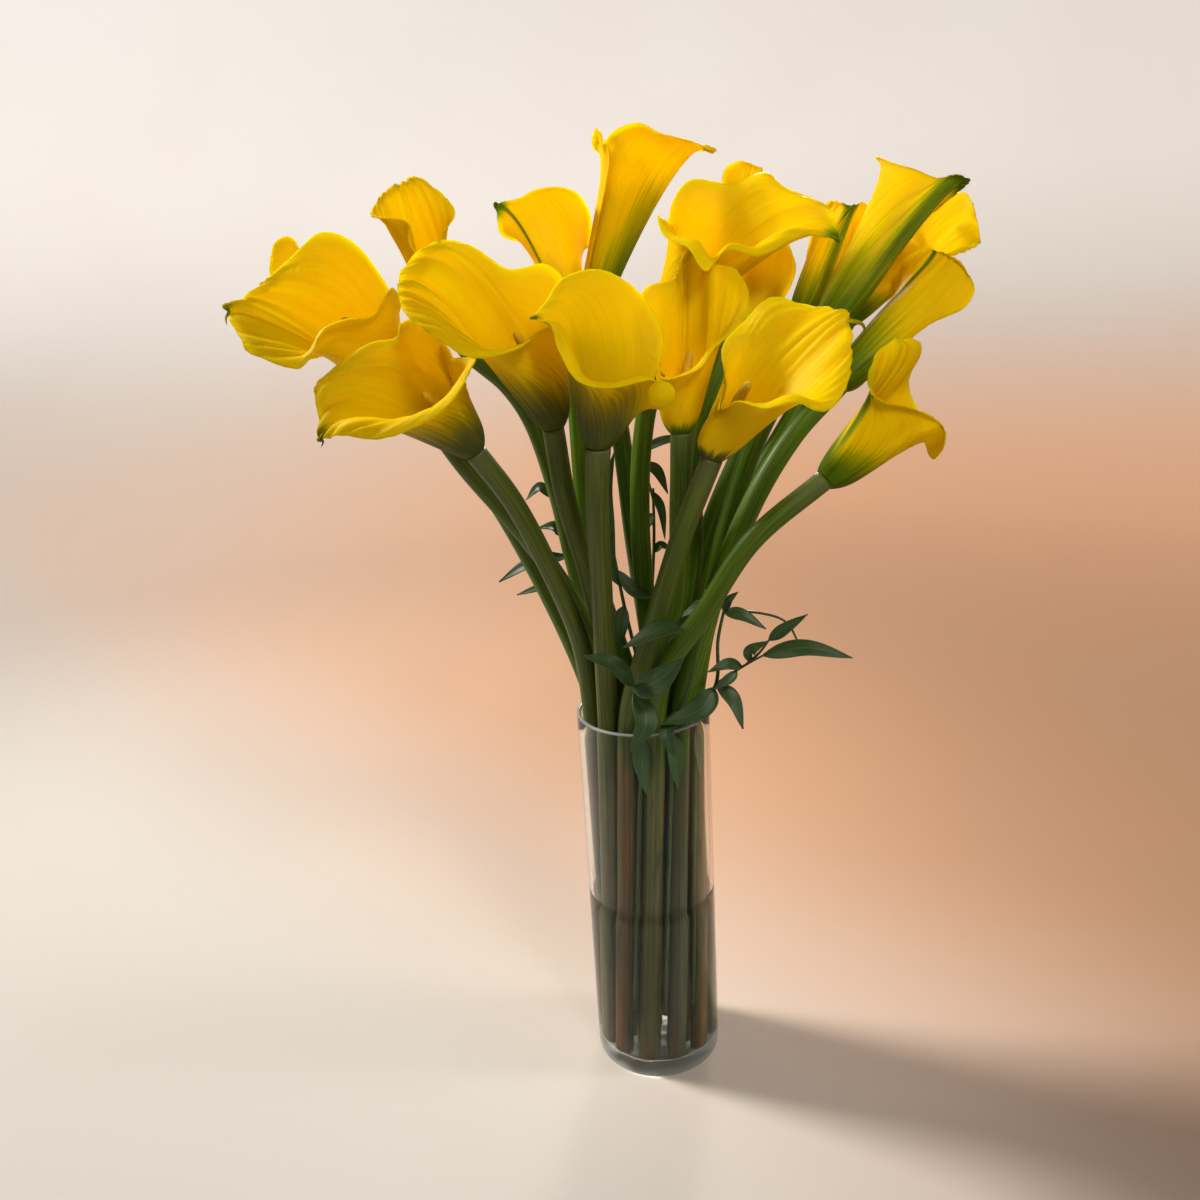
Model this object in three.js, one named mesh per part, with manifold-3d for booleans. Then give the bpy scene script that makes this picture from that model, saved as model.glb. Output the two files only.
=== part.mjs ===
// A vase of calla lilies: seventeen yellow blooms on thick stems, with sprays of
// ruscus between them, standing in a tall glass cylinder half filled with water.
// Millimetres, +Z up. The origin is the centre of the vase's foot.
import * as THREE from "three";
import Module from "manifold-3d";
import { mergeVertices } from "three/addons/utils/BufferGeometryUtils.js";

const wasm = await Module();
wasm.setup();

// Clearance left between pieces that touch.
const GAP = 0.3;

const VASE = { height: 300, radius: 50, wall: 3, floor: 14, round: 2.4, sides: 36 };
const WATER_LEVEL = 147;

// The stems stand in two rings inside the vase and twist gently on the way down.
// A place is the ring's radius and the angle at the mouth, in degrees.
const OUTER = 38.5;
const INNER = 19;
const STEM_TWIST = -24;
const STEM = { vaseRadius: 5.9, neckRadius: 7, sides: 7, steps: 6, lead: 60 };

// The stem narrows to a plug where the spathe wraps it.
const PLUG = { radius: 5, height: 7 };

// A spathe is a sheet wrapped round the plug: it starts at the base radius, swells
// within the tube's rise to the tube radius, and opens to its rim. Past the notch where
// its margins meet, the outer one is lifted off the inner one and laps one column over
// it, lower by the lap's reach.
const SPATHE = {
  thickness: 1,
  baseRadius: 6.1,
  tubeRadius: 18,
  tubeRise: 13,
  throat: 0.46,
  narrowest: 11,
  lift: 2.2,
  lapReach: 0.8,
  around: 14,
  along: [0, 0.16, 0.38, 0.62, 0.84, 1],
};
const SPADIX = { length: 52, radius: 3.6, sides: 6, profile: [0.8, 1, 0.95, 0.6] };

const RUSCUS = {
  stemRadius: 1.5,
  twigRadius: 1.1,
  ring: 44.2,
  footHeight: 60,
  sides: 5,
  steps: 6,
  thickness: 0.8,
  fold: 0.12,
  profile: [0.1, 0.72, 1, 0.86, 0.45, 0.06],
};

// Blooms and leaves are laid out on a picture plane: a point is its place in a square
// view 1200 across, and its depth, the world y in millimetres.
const VIEW = {
  eye: new THREE.Vector3(-27.4, -695.8, 604.4),
  pitch: 17.4,
  roll: -3.48,
  focal: 1000,
  centre: 600,
};

const COLOURS = {
  spathe: 0xf2c40a,
  stem: 0x5f7a2a,
  spadix: 0xd98a10,
  glass: 0xe6f0ec,
  water: 0xdfe9dd,
  ruscus: 0x2f4a22,
};

// One entry a bloom. "stands" is its place at the mouth of the vase, "bends" are the
// points its stem passes on the way down from the neck. The rim runs from the notch
// along the outer margin to the tip, which is entry number "tip", and back along the
// inner one. Each rim entry is x, y, depth and flare: below 1 the sheet still rises
// there, at 1 it lies flat and above 1 it rolls back.
const BLOOMS = [
  {
    name: "a",
    stands: [INNER, 128],
    bends: [[462, 462, -4], [545, 560, 4]],
    neck: [418, 398, -8],
    tip: 8,
    rim: [
      [395, 305, -12, 0.8],
      [389, 286, -34, 0.9],
      [374, 314, -52, 1],
      [345, 318, -66, 1],
      [322, 332, -78, 1.05],
      [300, 367, -92, 1.1],
      [262, 358, -88, 1.1],
      [234, 330, -76, 1.05],
      [224, 306, -66, 1],
      [250, 291, -56, 0.95],
      [285, 262, -40, 0.9],
      [322, 231, -24, 0.85],
      [355, 243, -14, 0.85],
      [385, 280, -8, 0.85],
    ],
    spadix: [342, 318, -44],
  },
  {
    name: "a2",
    stands: [OUTER, 160],
    bends: [[470, 465, 34], [532, 562, 26]],
    neck: [398, 392, 42],
    tip: 4,
    rim: [
      [372, 312, 44, 0.8],
      [330, 352, 10, 1],
      [290, 360, -4, 1.1],
      [246, 350, -6, 1.1],
      [240, 322, 4, 1],
      [268, 286, 22, 0.95],
      [271, 256, 34, 0.9],
      [275, 241, 38, 0.9],
      [288, 235, 42, 0.9],
      [299, 242, 46, 0.88],
      [303, 258, 48, 0.85],
      [345, 280, 52, 0.8],
    ],
  },
  {
    name: "b",
    stands: [OUTER, 190],
    bends: [[512, 500, -50], [545, 560, -38], [580, 640, -18]],
    neck: [475, 452, -62],
    tip: 7,
    rim: [
      [450, 357, -76, 0.8],
      [474, 357, -88, 1],
      [470, 370, -100, 1.05],
      [452, 400, -118, 1.15],
      [425, 420, -128, 1.2],
      [380, 438, -132, 1.2],
      [340, 435, -124, 1.15],
      [319, 440, -112, 1.1],
      [318, 412, -104, 1],
      [315, 388, -96, 0.95],
      [337, 366, -86, 0.9],
      [370, 343, -78, 0.85],
      [396, 337, -74, 0.85],
      [400, 323, -70, 0.85],
      [415, 318, -68, 0.85],
      [438, 330, -68, 0.85],
    ],
    spadix: [423, 393, -92],
  },
  {
    name: "c",
    stands: [OUTER, 130],
    bends: [[470, 352, 18], [508, 385, 24], [532, 420, 28], [557, 490, 32], [574, 560, 34]],
    neck: [450, 326, 16],
    tube: 13,
    tip: 6,
    rim: [
      [430, 258, -16, 0.85],
      [411, 243, -21, 0.9],
      [406, 222, -17, 0.95],
      [388, 217, -17, 1],
      [370, 214, -12, 1.05],
      [379, 196, -2, 1.05],
      [395, 180, 12, 1.05],
      [420, 180, 18, 1],
      [445, 195, 16, 0.95],
      [455, 213, 8, 0.95],
      [444, 231, 0, 0.9],
      [437, 246, -9, 0.85],
    ],
    spadix: [432, 272, 5],
  },
  {
    name: "d",
    stands: [INNER, 200],
    bends: [[566, 500, -42], [590, 580, -28]],
    neck: [553, 428, -52],
    tip: 6,
    rim: [
      [572, 318, -46, 0.75],
      [543, 326, -80, 0.95],
      [515, 349, -108, 1.05],
      [470, 356, -118, 1.1],
      [430, 332, -112, 1.1],
      [404, 312, -100, 1.05],
      [397, 291, -92, 1],
      [404, 266, -82, 0.95],
      [437, 240, -64, 0.9],
      [470, 245, -56, 0.85],
      [508, 268, -52, 0.8],
      [548, 264, -42, 0.8],
      [570, 288, -38, 0.75],
    ],
    spadix: [514, 332, -72],
  },
  {
    name: "e",
    stands: [OUTER, 225],
    bends: [[597, 500, -76], [602, 600, -50]],
    neck: [598, 448, -82],
    tip: 8,
    rim: [
      [655, 378, -80, 0.8],
      [662, 408, -98, 1],
      [671, 394, -106, 1.1],
      [655, 379, -112, 1.1],
      [612, 386, -125, 1.15],
      [580, 380, -125, 1.15],
      [560, 350, -118, 1.1],
      [549, 322, -108, 1.05],
      [531, 318, -104, 1],
      [546, 300, -96, 0.95],
      [562, 277, -84, 0.9],
      [598, 269, -72, 0.85],
      [635, 286, -66, 0.85],
      [657, 315, -66, 0.85],
      [665, 345, -72, 0.85],
    ],
    spadix: [600, 394, -88],
  },
  {
    name: "f",
    stands: [INNER, 272],
    bends: [[680, 500, -36], [676, 600, -30]],
    neck: [681, 432, -42],
    tip: 7,
    rim: [
      [664, 372, -56, 0.85],
      [672, 374, -68, 1],
      [698, 367, -72, 1.1],
      [716, 346, -62, 1.1],
      [744, 321, -50, 1.05],
      [751, 298, -42, 1],
      [738, 271, -42, 0.95],
      [710, 263, -50, 0.95],
      [689, 249, -46, 0.95],
      [680, 260, -44, 0.95],
      [673, 277, -42, 1],
      [650, 284, -42, 1],
      [638, 300, -46, 1],
      [646, 340, -52, 0.95],
    ],
    spadix: [691, 350, -44],
  },
  {
    name: "g",
    stands: [OUTER, 70],
    bends: [[618, 420, 58], [634, 540, 48]],
    neck: [594, 322, 72],
    tube: 15,
    tip: 6,
    rim: [
      [599, 150, 54, 0.85],
      [594, 129, 60, 1],
      [592, 149, 84, 1],
      [622, 160, 108, 0.95],
      [664, 158, 112, 1],
      [695, 150, 98, 1.06],
      [714, 151, 78, 1.1],
      [690, 141, 60, 1.08],
      [662, 131, 44, 1],
      [640, 122, 36, 0.95],
      [618, 127, 40, 0.9],
    ],
    spadix: [614, 252, 72],
  },
  {
    name: "h",
    stands: [OUTER, 100],
    bends: [[578, 420, 56], [592, 560, 44]],
    neck: [572, 320, 48],
    tube: 15,
    tip: 6,
    rim: [
      [586, 244, 98, 0.85],
      [588, 214, 96, 0.95],
      [580, 195, 82, 1],
      [555, 185, 60, 1],
      [533, 189, 50, 1],
      [516, 199, 42, 1.05],
      [495, 204, 36, 1.05],
      [499, 232, 50, 1.1],
      [515, 241, 68, 1.1],
      [540, 240, 92, 1],
      [553, 228, 114, 0.95],
      [580, 225, 112, 0.85],
    ],
  },
  {
    name: "i",
    stands: [INNER, 56],
    bends: [[645, 420, 12], [640, 520, 14]],
    neck: [666, 335, 12],
    tip: 8,
    rim: [
      [670, 220, 2, 0.8],
      [659, 213, -12, 1],
      [664, 236, -34, 1.12],
      [688, 250, -42, 1.18],
      [704, 268, -44, 1.2],
      [728, 250, -34, 1.15],
      [760, 256, -38, 1.15],
      [803, 236, -27, 1.1],
      [839, 240, -14, 1.05],
      [818, 198, 0, 1],
      [785, 188, 12, 0.95],
      [765, 172, 22, 0.95],
      [735, 183, 24, 0.9],
      [690, 180, 20, 0.9],
      [672, 203, 8, 0.85],
    ],
    spadix: [688, 262, -8],
  },
  {
    name: "j",
    stands: [INNER, 344],
    bends: [[703, 410, 0], [693, 480, -2], [693, 560, -4]],
    neck: [732, 338, 8],
    tip: 4,
    rim: [
      [738, 235, 70, 0.85],
      [722, 190, 52, 0.95],
      [726, 166, 46, 1],
      [742, 160, 44, 1.05],
      [762, 168, 42, 1.05],
      [778, 200, 36, 1],
      [790, 245, 26, 1.05],
      [797, 270, 20, 1.25],
      [783, 299, 28, 1.1],
      [778, 262, 58, 1],
      [755, 240, 80, 0.9],
    ],
  },
  {
    name: "k",
    stands: [OUTER, 250],
    bends: [[682, 535, -80], [651, 635, -62], [634, 690, -48]],
    neck: [712, 458, -88],
    tip: 7,
    rim: [
      [722, 408, -102, 0.85],
      [736, 399, -120, 0.95],
      [765, 408, -136, 1.1],
      [795, 402, -140, 1.15],
      [826, 411, -136, 1.15],
      [848, 384, -122, 1.1],
      [855, 352, -108, 1.05],
      [859, 328, -98, 1],
      [846, 309, -92, 1],
      [808, 303, -80, 0.9],
      [770, 297, -72, 0.9],
      [745, 320, -72, 0.9],
      [722, 348, -82, 0.9],
      [728, 386, -92, 0.85],
    ],
    spadix: [750, 382, -114],
  },
  {
    name: "l",
    stands: [OUTER, 40],
    bends: [[744, 445, 44], [706, 540, 36]],
    neck: [797, 332, 48],
    tip: 5,
    rim: [
      [850, 250, 100, 0.85],
      [815, 238, 84, 1],
      [806, 258, 68, 1.1],
      [818, 215, 62, 1.05],
      [832, 200, 52, 1],
      [854, 205, 40, 1.05],
      [862, 200, 46, 1],
      [874, 215, 66, 1],
      [868, 240, 90, 0.95],
    ],
  },
  {
    name: "m",
    stands: [OUTER, 340],
    bends: [[770, 410, -14], [733, 505, -14]],
    neck: [820, 336, -6],
    tip: 7,
    rim: [
      [912, 195, 78, 0.9],
      [885, 165, 58, 0.95],
      [875, 156, 40, 1.05],
      [890, 161, 28, 1],
      [915, 168, 18, 1],
      [938, 177, 10, 1],
      [958, 174, 2, 1.05],
      [970, 181, -2, 1.1],
      [947, 203, 12, 1.1],
      [930, 214, 34, 1.05],
      [925, 205, 62, 1],
    ],
  },
  {
    name: "n",
    stands: [OUTER, 10],
    bends: [[796, 410, 42], [742, 510, 28]],
    neck: [846, 322, 60],
    tip: 6,
    rim: [
      [902, 230, 80, 0.85],
      [908, 212, 94, 0.9],
      [925, 190, 104, 0.95],
      [948, 190, 100, 1],
      [966, 193, 86, 1],
      [976, 215, 66, 1],
      [981, 243, 50, 1],
      [960, 251, 44, 0.95],
      [943, 257, 46, 0.95],
      [928, 249, 52, 0.95],
      [914, 242, 64, 0.9],
    ],
  },
  {
    name: "o",
    stands: [OUTER, 310],
    bends: [[790, 440, -34], [740, 530, -40]],
    neck: [840, 384, -26],
    tip: 3,
    rim: [
      [898, 288, 48, 0.85],
      [905, 262, 40, 0.9],
      [925, 248, 30, 0.95],
      [943, 254, 24, 1.1],
      [962, 266, 16, 1.1],
      [975, 289, 8, 1],
      [963, 310, 4, 0.95],
      [944, 318, 2, 0.95],
      [914, 323, 12, 0.9],
      [899, 310, 34, 0.85],
    ],
  },
  {
    name: "p",
    stands: [OUTER, 280],
    bends: [[752, 541, -67], [702, 616, -62], [664, 672, -53]],
    neck: [824, 480, -62],
    tip: 8,
    rim: [
      [924, 434, -42, 0.8],
      [937, 460, -84, 1.35],
      [946, 440, -88, 1.25],
      [940, 422, -82, 1.05],
      [915, 409, -80, 1],
      [885, 402, -82, 1.05],
      [870, 385, -80, 1.05],
      [876, 355, -70, 1],
      [893, 339, -60, 1],
      [919, 342, -46, 1],
      [913, 365, -38, 0.95],
      [911, 392, -34, 0.9],
      [922, 415, -34, 0.85],
    ],
  },
];

// One entry a spray of ruscus. Its stem stands in the vase as a bloom's does, "bends"
// are the points that it passes on the way down from its end, and a twig is its points
// from the stem outwards. A leaf is its base, middle and tip, its width, and how far its
// face is turned from the front, in degrees.
const SPRAYS = [
  {
    name: "right",
    stands: [RUSCUS.ring, 325],
    bends: [[724, 610, 2], [718, 640, -8], [716, 684, -20]],
    twigs: [
      [[717, 684, -20], [747, 664, -28], [764, 655, -32]],
      [[747, 664, -28], [760, 652, -28], [769, 640, -26]],
      [[724, 612, 2], [760, 613, -4], [786, 622, -10], [800, 646, -14]],
    ],
    leaves: [
      [[763, 655, -32], [805, 648, -42], [853, 658, -50], 13, 0],
      [[769, 640, -26], [784, 629, -26], [808, 614, -26], 9, 20],
      [[750, 661, -28], [750, 651, -34], [768, 641, -38], 9, 20],
      [[724, 612, 2], [742, 615, -4], [766, 629, -10], 10, 0],
      [[724, 612, 2], [728, 601, 0], [738, 592, -2], 7, 0],
      [[742, 667, -27], [728, 664, -30], [708, 672, -34], 9, 0],
      [[736, 671, -26], [728, 680, -34], [712, 690, -42], 8, 10],
      [[717, 684, -20], [733, 700, -28], [743, 729, -34], 13, -20],
      [[717, 690, -20], [699, 710, -44], [661, 725, -66], 18, 10],
      [[694, 724, -25.8], [696, 748, -25.8], [698, 776, -24.5], 12, -55],
    ],
  },
  {
    name: "front",
    stands: [RUSCUS.ring, 265],
    bends: [[634, 684, -66], [636, 700, -60]],
    twigs: [],
    leaves: [
      [[634, 686, -66], [612, 664, -82], [584, 656, -90], 14, 10],
      [[634, 690, -66], [657, 682, -84], [684, 658, -94], 19, 10],
      [[635, 694, -64], [646, 722, -76], [630, 752, -84], 16, -10],
      [[640, 738, -44], [642, 762, -44.7], [646, 793, -44.8], 13, 5],
    ],
  },
  {
    name: "middle",
    stands: [RUSCUS.ring, 295],
    bends: [[706, 590, -50], [700, 630, -49], [688, 690, -50]],
    twigs: [[[702, 614, -49], [690, 621, -51], [679, 627, -58]]],
    leaves: [
      [[681, 626, -57], [663, 628, -84], [623, 648, -99], 15.5, 10],
      [[703, 602, -50], [694, 609, -46], [681, 617, -42], 9, 20],
      [[680, 712, -46], [666, 735, -64], [675, 757, -68], 10, 0],
      [[672, 734, -40.3], [674, 758, -40.7], [677, 788, -40], 13, -25],
    ],
  },
  {
    name: "left",
    stands: [RUSCUS.ring, 145],
    bends: [[551, 496, 58], [564, 540, 56], [588, 630, 46]],
    twigs: [],
    leaves: [
      [[551, 497, 58], [540, 487, 58], [526, 500, 60], 9, 10],
      [[564, 534, 56], [554, 527, 54], [538, 528, 52], 12, 20],
      [[568, 556, 55], [532, 562, 46], [499, 582, 44], 12, 10],
      [[574, 580, 52], [545, 586, 48], [517, 595, 46], 9, 10],
    ],
  },
  {
    name: "back",
    stands: [RUSCUS.ring, 85],
    bends: [[653, 488, 62], [654, 540, 62], [650, 620, 56]],
    twigs: [[[653, 500, 62], [646, 470, 54], [644, 448, 44]]],
    leaves: [
      [[645, 462, 52], [657, 471, 50], [668, 494, 50], 9, 0],
      [[653, 492, 62], [661, 508, 58], [665, 540, 56], 7, 20],
      [[654, 514, 62], [647, 522, 64], [634, 541, 68], 10, 0],
      [[654, 552, 62], [661, 545, 60], [671, 550, 58], 7, 0],
      [[644, 450, 44], [662, 441, 40], [690, 436, 36], 8, 0],
    ],
  },
  {
    name: "centre",
    stands: [3, 0],
    bends: [[612, 545, 22], [623, 600, 10]],
    twigs: [],
    leaves: [
      [[612, 547, 22], [606, 495, 24], [614, 452, 26], 10, 10],
      [[620, 570, 18], [636, 592, 8], [656, 598, 0], 10, 0],
      [[624, 585, 16], [612, 570, 14], [614, 520, 12], 9, 30],
      [[624, 606, 10], [619, 628, 2], [614, 662, -6], 13, 0],
    ],
  },
];

const radians = THREE.MathUtils.degToRad;

// The world point seen at (x, y) in the view and lying at the given depth.
function onPicture([x, y, depth]) {
  const pitch = radians(VIEW.pitch);
  const roll = radians(VIEW.roll);
  const ahead = new THREE.Vector3(0, Math.cos(pitch), -Math.sin(pitch));
  const level = new THREE.Vector3(1, 0, 0);
  const above = new THREE.Vector3(0, Math.sin(pitch), Math.cos(pitch));
  const right = level.clone().multiplyScalar(Math.cos(roll)).addScaledVector(above, Math.sin(roll));
  const up = above.clone().multiplyScalar(Math.cos(roll)).addScaledVector(level, -Math.sin(roll));
  const ray = ahead
    .multiplyScalar(VIEW.focal)
    .addScaledVector(right, x - VIEW.centre)
    .addScaledVector(up, VIEW.centre - y);
  return VIEW.eye.clone().addScaledVector(ray, (depth - VIEW.eye.y) / ray.y);
}

// A mesh from points and triangles given as corner numbers.
function meshOf(points, triangles) {
  const geometry = new THREE.BufferGeometry();
  const places = points.flatMap((p) => p.toArray());
  geometry.setAttribute("position", new THREE.Float32BufferAttribute(places, 3));
  geometry.setIndex(triangles.flat());
  return geometry;
}

function centreOf(points) {
  return points.reduce((sum, p) => sum.add(p), new THREE.Vector3()).divideScalar(points.length);
}

// The solid between rings of points, closed at each end by a fan to a middle point.
function lofted(rings) {
  const sides = rings[0].length;
  const points = rings.flat();
  const triangles = [];
  for (let ring = 0; ring + 1 < rings.length; ring++) {
    for (let k = 0; k < sides; k++) {
      const a = ring * sides + k;
      const b = ring * sides + ((k + 1) % sides);
      triangles.push([a, b, b + sides], [a, b + sides, a + sides]);
    }
  }
  for (const [ring, turn] of [[0, 1], [rings.length - 1, 0]]) {
    points.push(centreOf(rings[ring]));
    for (let k = 0; k < sides; k++) {
      const a = ring * sides + k;
      const b = ring * sides + ((k + 1) % sides);
      triangles.push(turn ? [b, a, points.length - 1] : [a, b, points.length - 1]);
    }
  }
  return meshOf(points, triangles);
}

// A ring of points round a centre, in the plane square to "along".
function ringAt(centre, along, side, radius, sides) {
  const across = side.clone().addScaledVector(along, -side.dot(along)).normalize();
  const other = along.clone().cross(across);
  return Array.from({ length: sides }, (_, k) => {
    const turn = (2 * Math.PI * k) / sides;
    return centre
      .clone()
      .addScaledVector(across, radius * Math.cos(turn))
      .addScaledVector(other, radius * Math.sin(turn));
  });
}

function inVase(radius, degrees, height) {
  const turn = radians(degrees);
  return new THREE.Vector3(radius * Math.cos(turn), radius * Math.sin(turn), height);
}

// The straight part of a stem inside the vase: its foot, its mouth and its direction.
function vaseLine([radius, degrees], footHeight = VASE.floor + GAP) {
  const foot = inVase(radius, degrees + STEM_TWIST, VASE.floor + GAP);
  const mouth = inVase(radius, degrees, VASE.height);
  const direction = mouth.clone().sub(foot).normalize();
  foot.addScaledVector(direction, (footHeight - foot.z) / direction.z);
  return { foot, mouth, direction };
}

// The curve of a stem from below the mouth, where it is straight, up to its last point.
function stemCurve(line, bends) {
  const below = line.mouth.clone().addScaledVector(line.direction, -STEM.lead);
  return new THREE.CatmullRomCurve3([below, line.mouth, ...bends.map(onPicture)]);
}

// The points that a stem passes above the mouth, from the lowest to the neck.
function stemPoints(bloom) {
  return [bloom.neck, ...bloom.bends].reverse();
}

// Rings along a stem: one at its foot, then "steps" and one more from the mouth up.
function stemRings(line, bends, radii, steps, sides) {
  const curve = stemCurve(line, bends);
  const start = 1 / (bends.length + 1);
  const side = new THREE.Vector3(1, 0, 0);
  const rings = [ringAt(line.foot, new THREE.Vector3(0, 0, 1), side, radii[0], sides)];
  for (let step = 0; step <= steps; step++) {
    const share = step / steps;
    const at = start + (1 - start) * share;
    const radius = THREE.MathUtils.lerp(radii[0], radii[1], share);
    rings.push(ringAt(curve.getPoint(at), curve.getTangent(at), side, radius, sides));
  }
  return rings;
}

function neckOf(bloom) {
  const curve = stemCurve(vaseLine(bloom.stands), stemPoints(bloom));
  return { point: onPicture(bloom.neck), along: curve.getTangent(1) };
}

function stem(bloom) {
  const radii = [STEM.vaseRadius, STEM.neckRadius];
  const rings = stemRings(vaseLine(bloom.stands), stemPoints(bloom), radii, STEM.steps, STEM.sides);
  const neck = neckOf(bloom);
  const side = new THREE.Vector3(1, 0, 0);
  rings.push(ringAt(neck.point, neck.along, side, PLUG.radius, STEM.sides));
  const plugTop = neck.point.clone().addScaledVector(neck.along, PLUG.height);
  rings.push(ringAt(plugTop, neck.along, side, PLUG.radius, STEM.sides));
  return lofted(rings);
}

// Point and flare of a closed rim at v, from 0 at the notch to 0.5 at the tip and on to 1.
function rimAt(rim, tip, curves, v) {
  const outer = v <= 0.5;
  const part = outer ? v * 2 : v * 2 - 1;
  const first = outer ? 0 : tip;
  const steps = outer ? tip : rim.length - 1 - tip;
  const at = part * steps;
  const whole = Math.min(Math.floor(at), steps - 1);
  const flare = THREE.MathUtils.lerp(rim[first + whole][3], rim[first + whole + 1][3], at - whole);
  return { point: curves[outer ? 0 : 1].getPoint(part), flare };
}

// The lines of a spathe from its base at u = 0 to its rim at u = 1, one for each column
// round the funnel, the sense, 1 or -1, in which they turn about it, and the stem's way.
function spatheLines(bloom) {
  const neck = neckOf(bloom);
  const rim = [...bloom.rim, bloom.rim[0]];
  const points = rim.map(onPicture);
  const curves = [points.slice(0, bloom.tip + 1), points.slice(bloom.tip)].map(
    (part) => new THREE.CatmullRomCurve3(part),
  );
  const axis = centreOf(bloom.rim.map(onPicture)).sub(neck.point).normalize();
  const across = new THREE.Vector3(0, 0, 1).cross(axis).normalize();
  const other = axis.clone().cross(across);
  const square = (p) => {
    const from = p.clone().sub(neck.point);
    return from.addScaledVector(axis, -from.dot(axis));
  };
  const angle = (p) => Math.atan2(square(p).dot(other), square(p).dot(across));
  let swept = 0;
  for (let k = 0; k + 1 < points.length; k++) {
    const turn = angle(points[k + 1]) - angle(points[k]);
    swept += Math.atan2(Math.sin(turn), Math.cos(turn));
  }
  const sense = Math.sign(swept);
  const tipAngle = angle(points[bloom.tip]);
  const lean = new THREE.Quaternion().setFromUnitVectors(axis, neck.along);
  const start = neck.point.clone().addScaledVector(neck.along, GAP);
  const tube = bloom.tube ?? SPATHE.tubeRadius;
  const lines = Array.from({ length: SPATHE.around }, (_, k) => {
    const v = k / SPATHE.around;
    const turn = tipAngle + sense * (v - 0.5) * 2 * Math.PI;
    const out = across.clone().multiplyScalar(Math.cos(turn)).addScaledVector(other, Math.sin(turn));
    out.applyQuaternion(lean);
    const edge = rimAt(rim, bloom.tip, curves, v);
    const aside = square(edge.point);
    const reach = edge.point.clone().sub(neck.point).dot(axis);
    const width = Math.max(SPATHE.throat * aside.length(), SPATHE.narrowest);
    return new THREE.CubicBezierCurve3(
      start.clone().addScaledVector(out, SPATHE.baseRadius),
      start.clone().addScaledVector(neck.along, SPATHE.tubeRise).addScaledVector(out, tube),
      start.clone().addScaledVector(axis, reach * edge.flare).addScaledVector(aside.normalize(), width),
      edge.point,
    );
  });
  return { lines, sense, along: neck.along };
}

// One row of a spathe at u: the lapping column, the columns round from the notch, of
// which the first two are lifted, and the notch again.
function spatheRow({ lines, sense, along }, u) {
  const lineAt = (k) => lines[(k + lines.length) % lines.length];
  const row = [];
  for (let k = -1; k <= lines.length; k++) {
    const at = k < 0 ? u * SPATHE.lapReach : u;
    const round = lineAt(k + 1).getPoint(at).sub(lineAt(k - 1 + lines.length).getPoint(at));
    const out = round.cross(u > 0 ? lineAt(k).getTangent(at) : along).setLength(sense * SPATHE.lift);
    row.push(lineAt(k).getPoint(at).addScaledVector(out, Math.min(1, Math.max(0, 1 - k / 2))));
  }
  return row;
}

// A closed solid from a grid of points, by laying each face half a thickness off it.
function sheetSolid(grid, thickness) {
  const rows = grid.length;
  const columns = grid[0].length;
  const faces = [1, -1].map((sign) =>
    grid.flatMap((row, i) =>
      row.map((point, j) => {
        const du = grid[Math.min(i + 1, rows - 1)][j].clone().sub(grid[Math.max(i - 1, 0)][j]);
        const dv = row[Math.min(j + 1, columns - 1)].clone().sub(row[Math.max(j - 1, 0)]);
        return point.clone().addScaledVector(du.cross(dv).normalize(), (sign * thickness) / 2);
      }),
    ),
  );
  const size = rows * columns;
  const triangles = [];
  for (let i = 0; i + 1 < rows; i++) {
    for (let j = 0; j + 1 < columns; j++) {
      const a = i * columns + j;
      const [b, c, d] = [a + columns, a + columns + 1, a + 1];
      triangles.push([a, b, c], [a, c, d]);
      triangles.push([a + size, c + size, b + size], [a + size, d + size, c + size]);
    }
  }
  const edge = [];
  for (let j = 0; j + 1 < columns; j++) edge.push(j);
  for (let i = 0; i + 1 < rows; i++) edge.push(i * columns + columns - 1);
  for (let j = columns - 1; j > 0; j--) edge.push((rows - 1) * columns + j);
  for (let i = rows - 1; i > 0; i--) edge.push(i * columns);
  edge.forEach((a, k) => {
    const b = edge[(k + 1) % edge.length];
    triangles.push([a, b, b + size], [a, b + size, a + size]);
  });
  return meshOf([...faces[0], ...faces[1]], triangles);
}

function spathe(bloom) {
  const form = spatheLines(bloom);
  return sheetSolid(SPATHE.along.map((u) => spatheRow(form, u)), SPATHE.thickness);
}

function spadix(bloom) {
  const neck = neckOf(bloom);
  const foot = neck.point.clone().addScaledVector(neck.along, PLUG.height + GAP);
  const aim = bloom.spadix ? onPicture(bloom.spadix) : centreOf(bloom.rim.map(onPicture));
  const reach = bloom.spadix ? aim.distanceTo(foot) : SPADIX.length;
  const top = foot.clone().add(aim.sub(foot).setLength(reach));
  const bend = foot.clone().addScaledVector(neck.along, reach / 2);
  const curve = new THREE.QuadraticBezierCurve3(foot, bend, top);
  const side = new THREE.Vector3(1, 0, 0);
  const rings = SPADIX.profile.map((width, k) => {
    const at = k / (SPADIX.profile.length - 1);
    return ringAt(curve.getPoint(at), curve.getTangent(at), side, SPADIX.radius * width, SPADIX.sides);
  });
  return lofted(rings);
}

function vase() {
  const { radius, height, wall, floor, round } = VASE;
  const inner = radius - wall;
  const profile = [
    [0, 0],
    [radius - round, 0],
    [radius - round / 4, round / 2],
    [radius, round * 1.5],
    [radius, height - 1],
    [radius - 0.7, height],
    [inner + 0.7, height],
    [inner, height - 1],
    [inner, floor + round],
    [inner - round, floor],
    [0, floor],
  ];
  return new THREE.LatheGeometry(profile.map(([r, z]) => new THREE.Vector2(r, z)), VASE.sides).rotateX(
    Math.PI / 2,
  );
}

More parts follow.
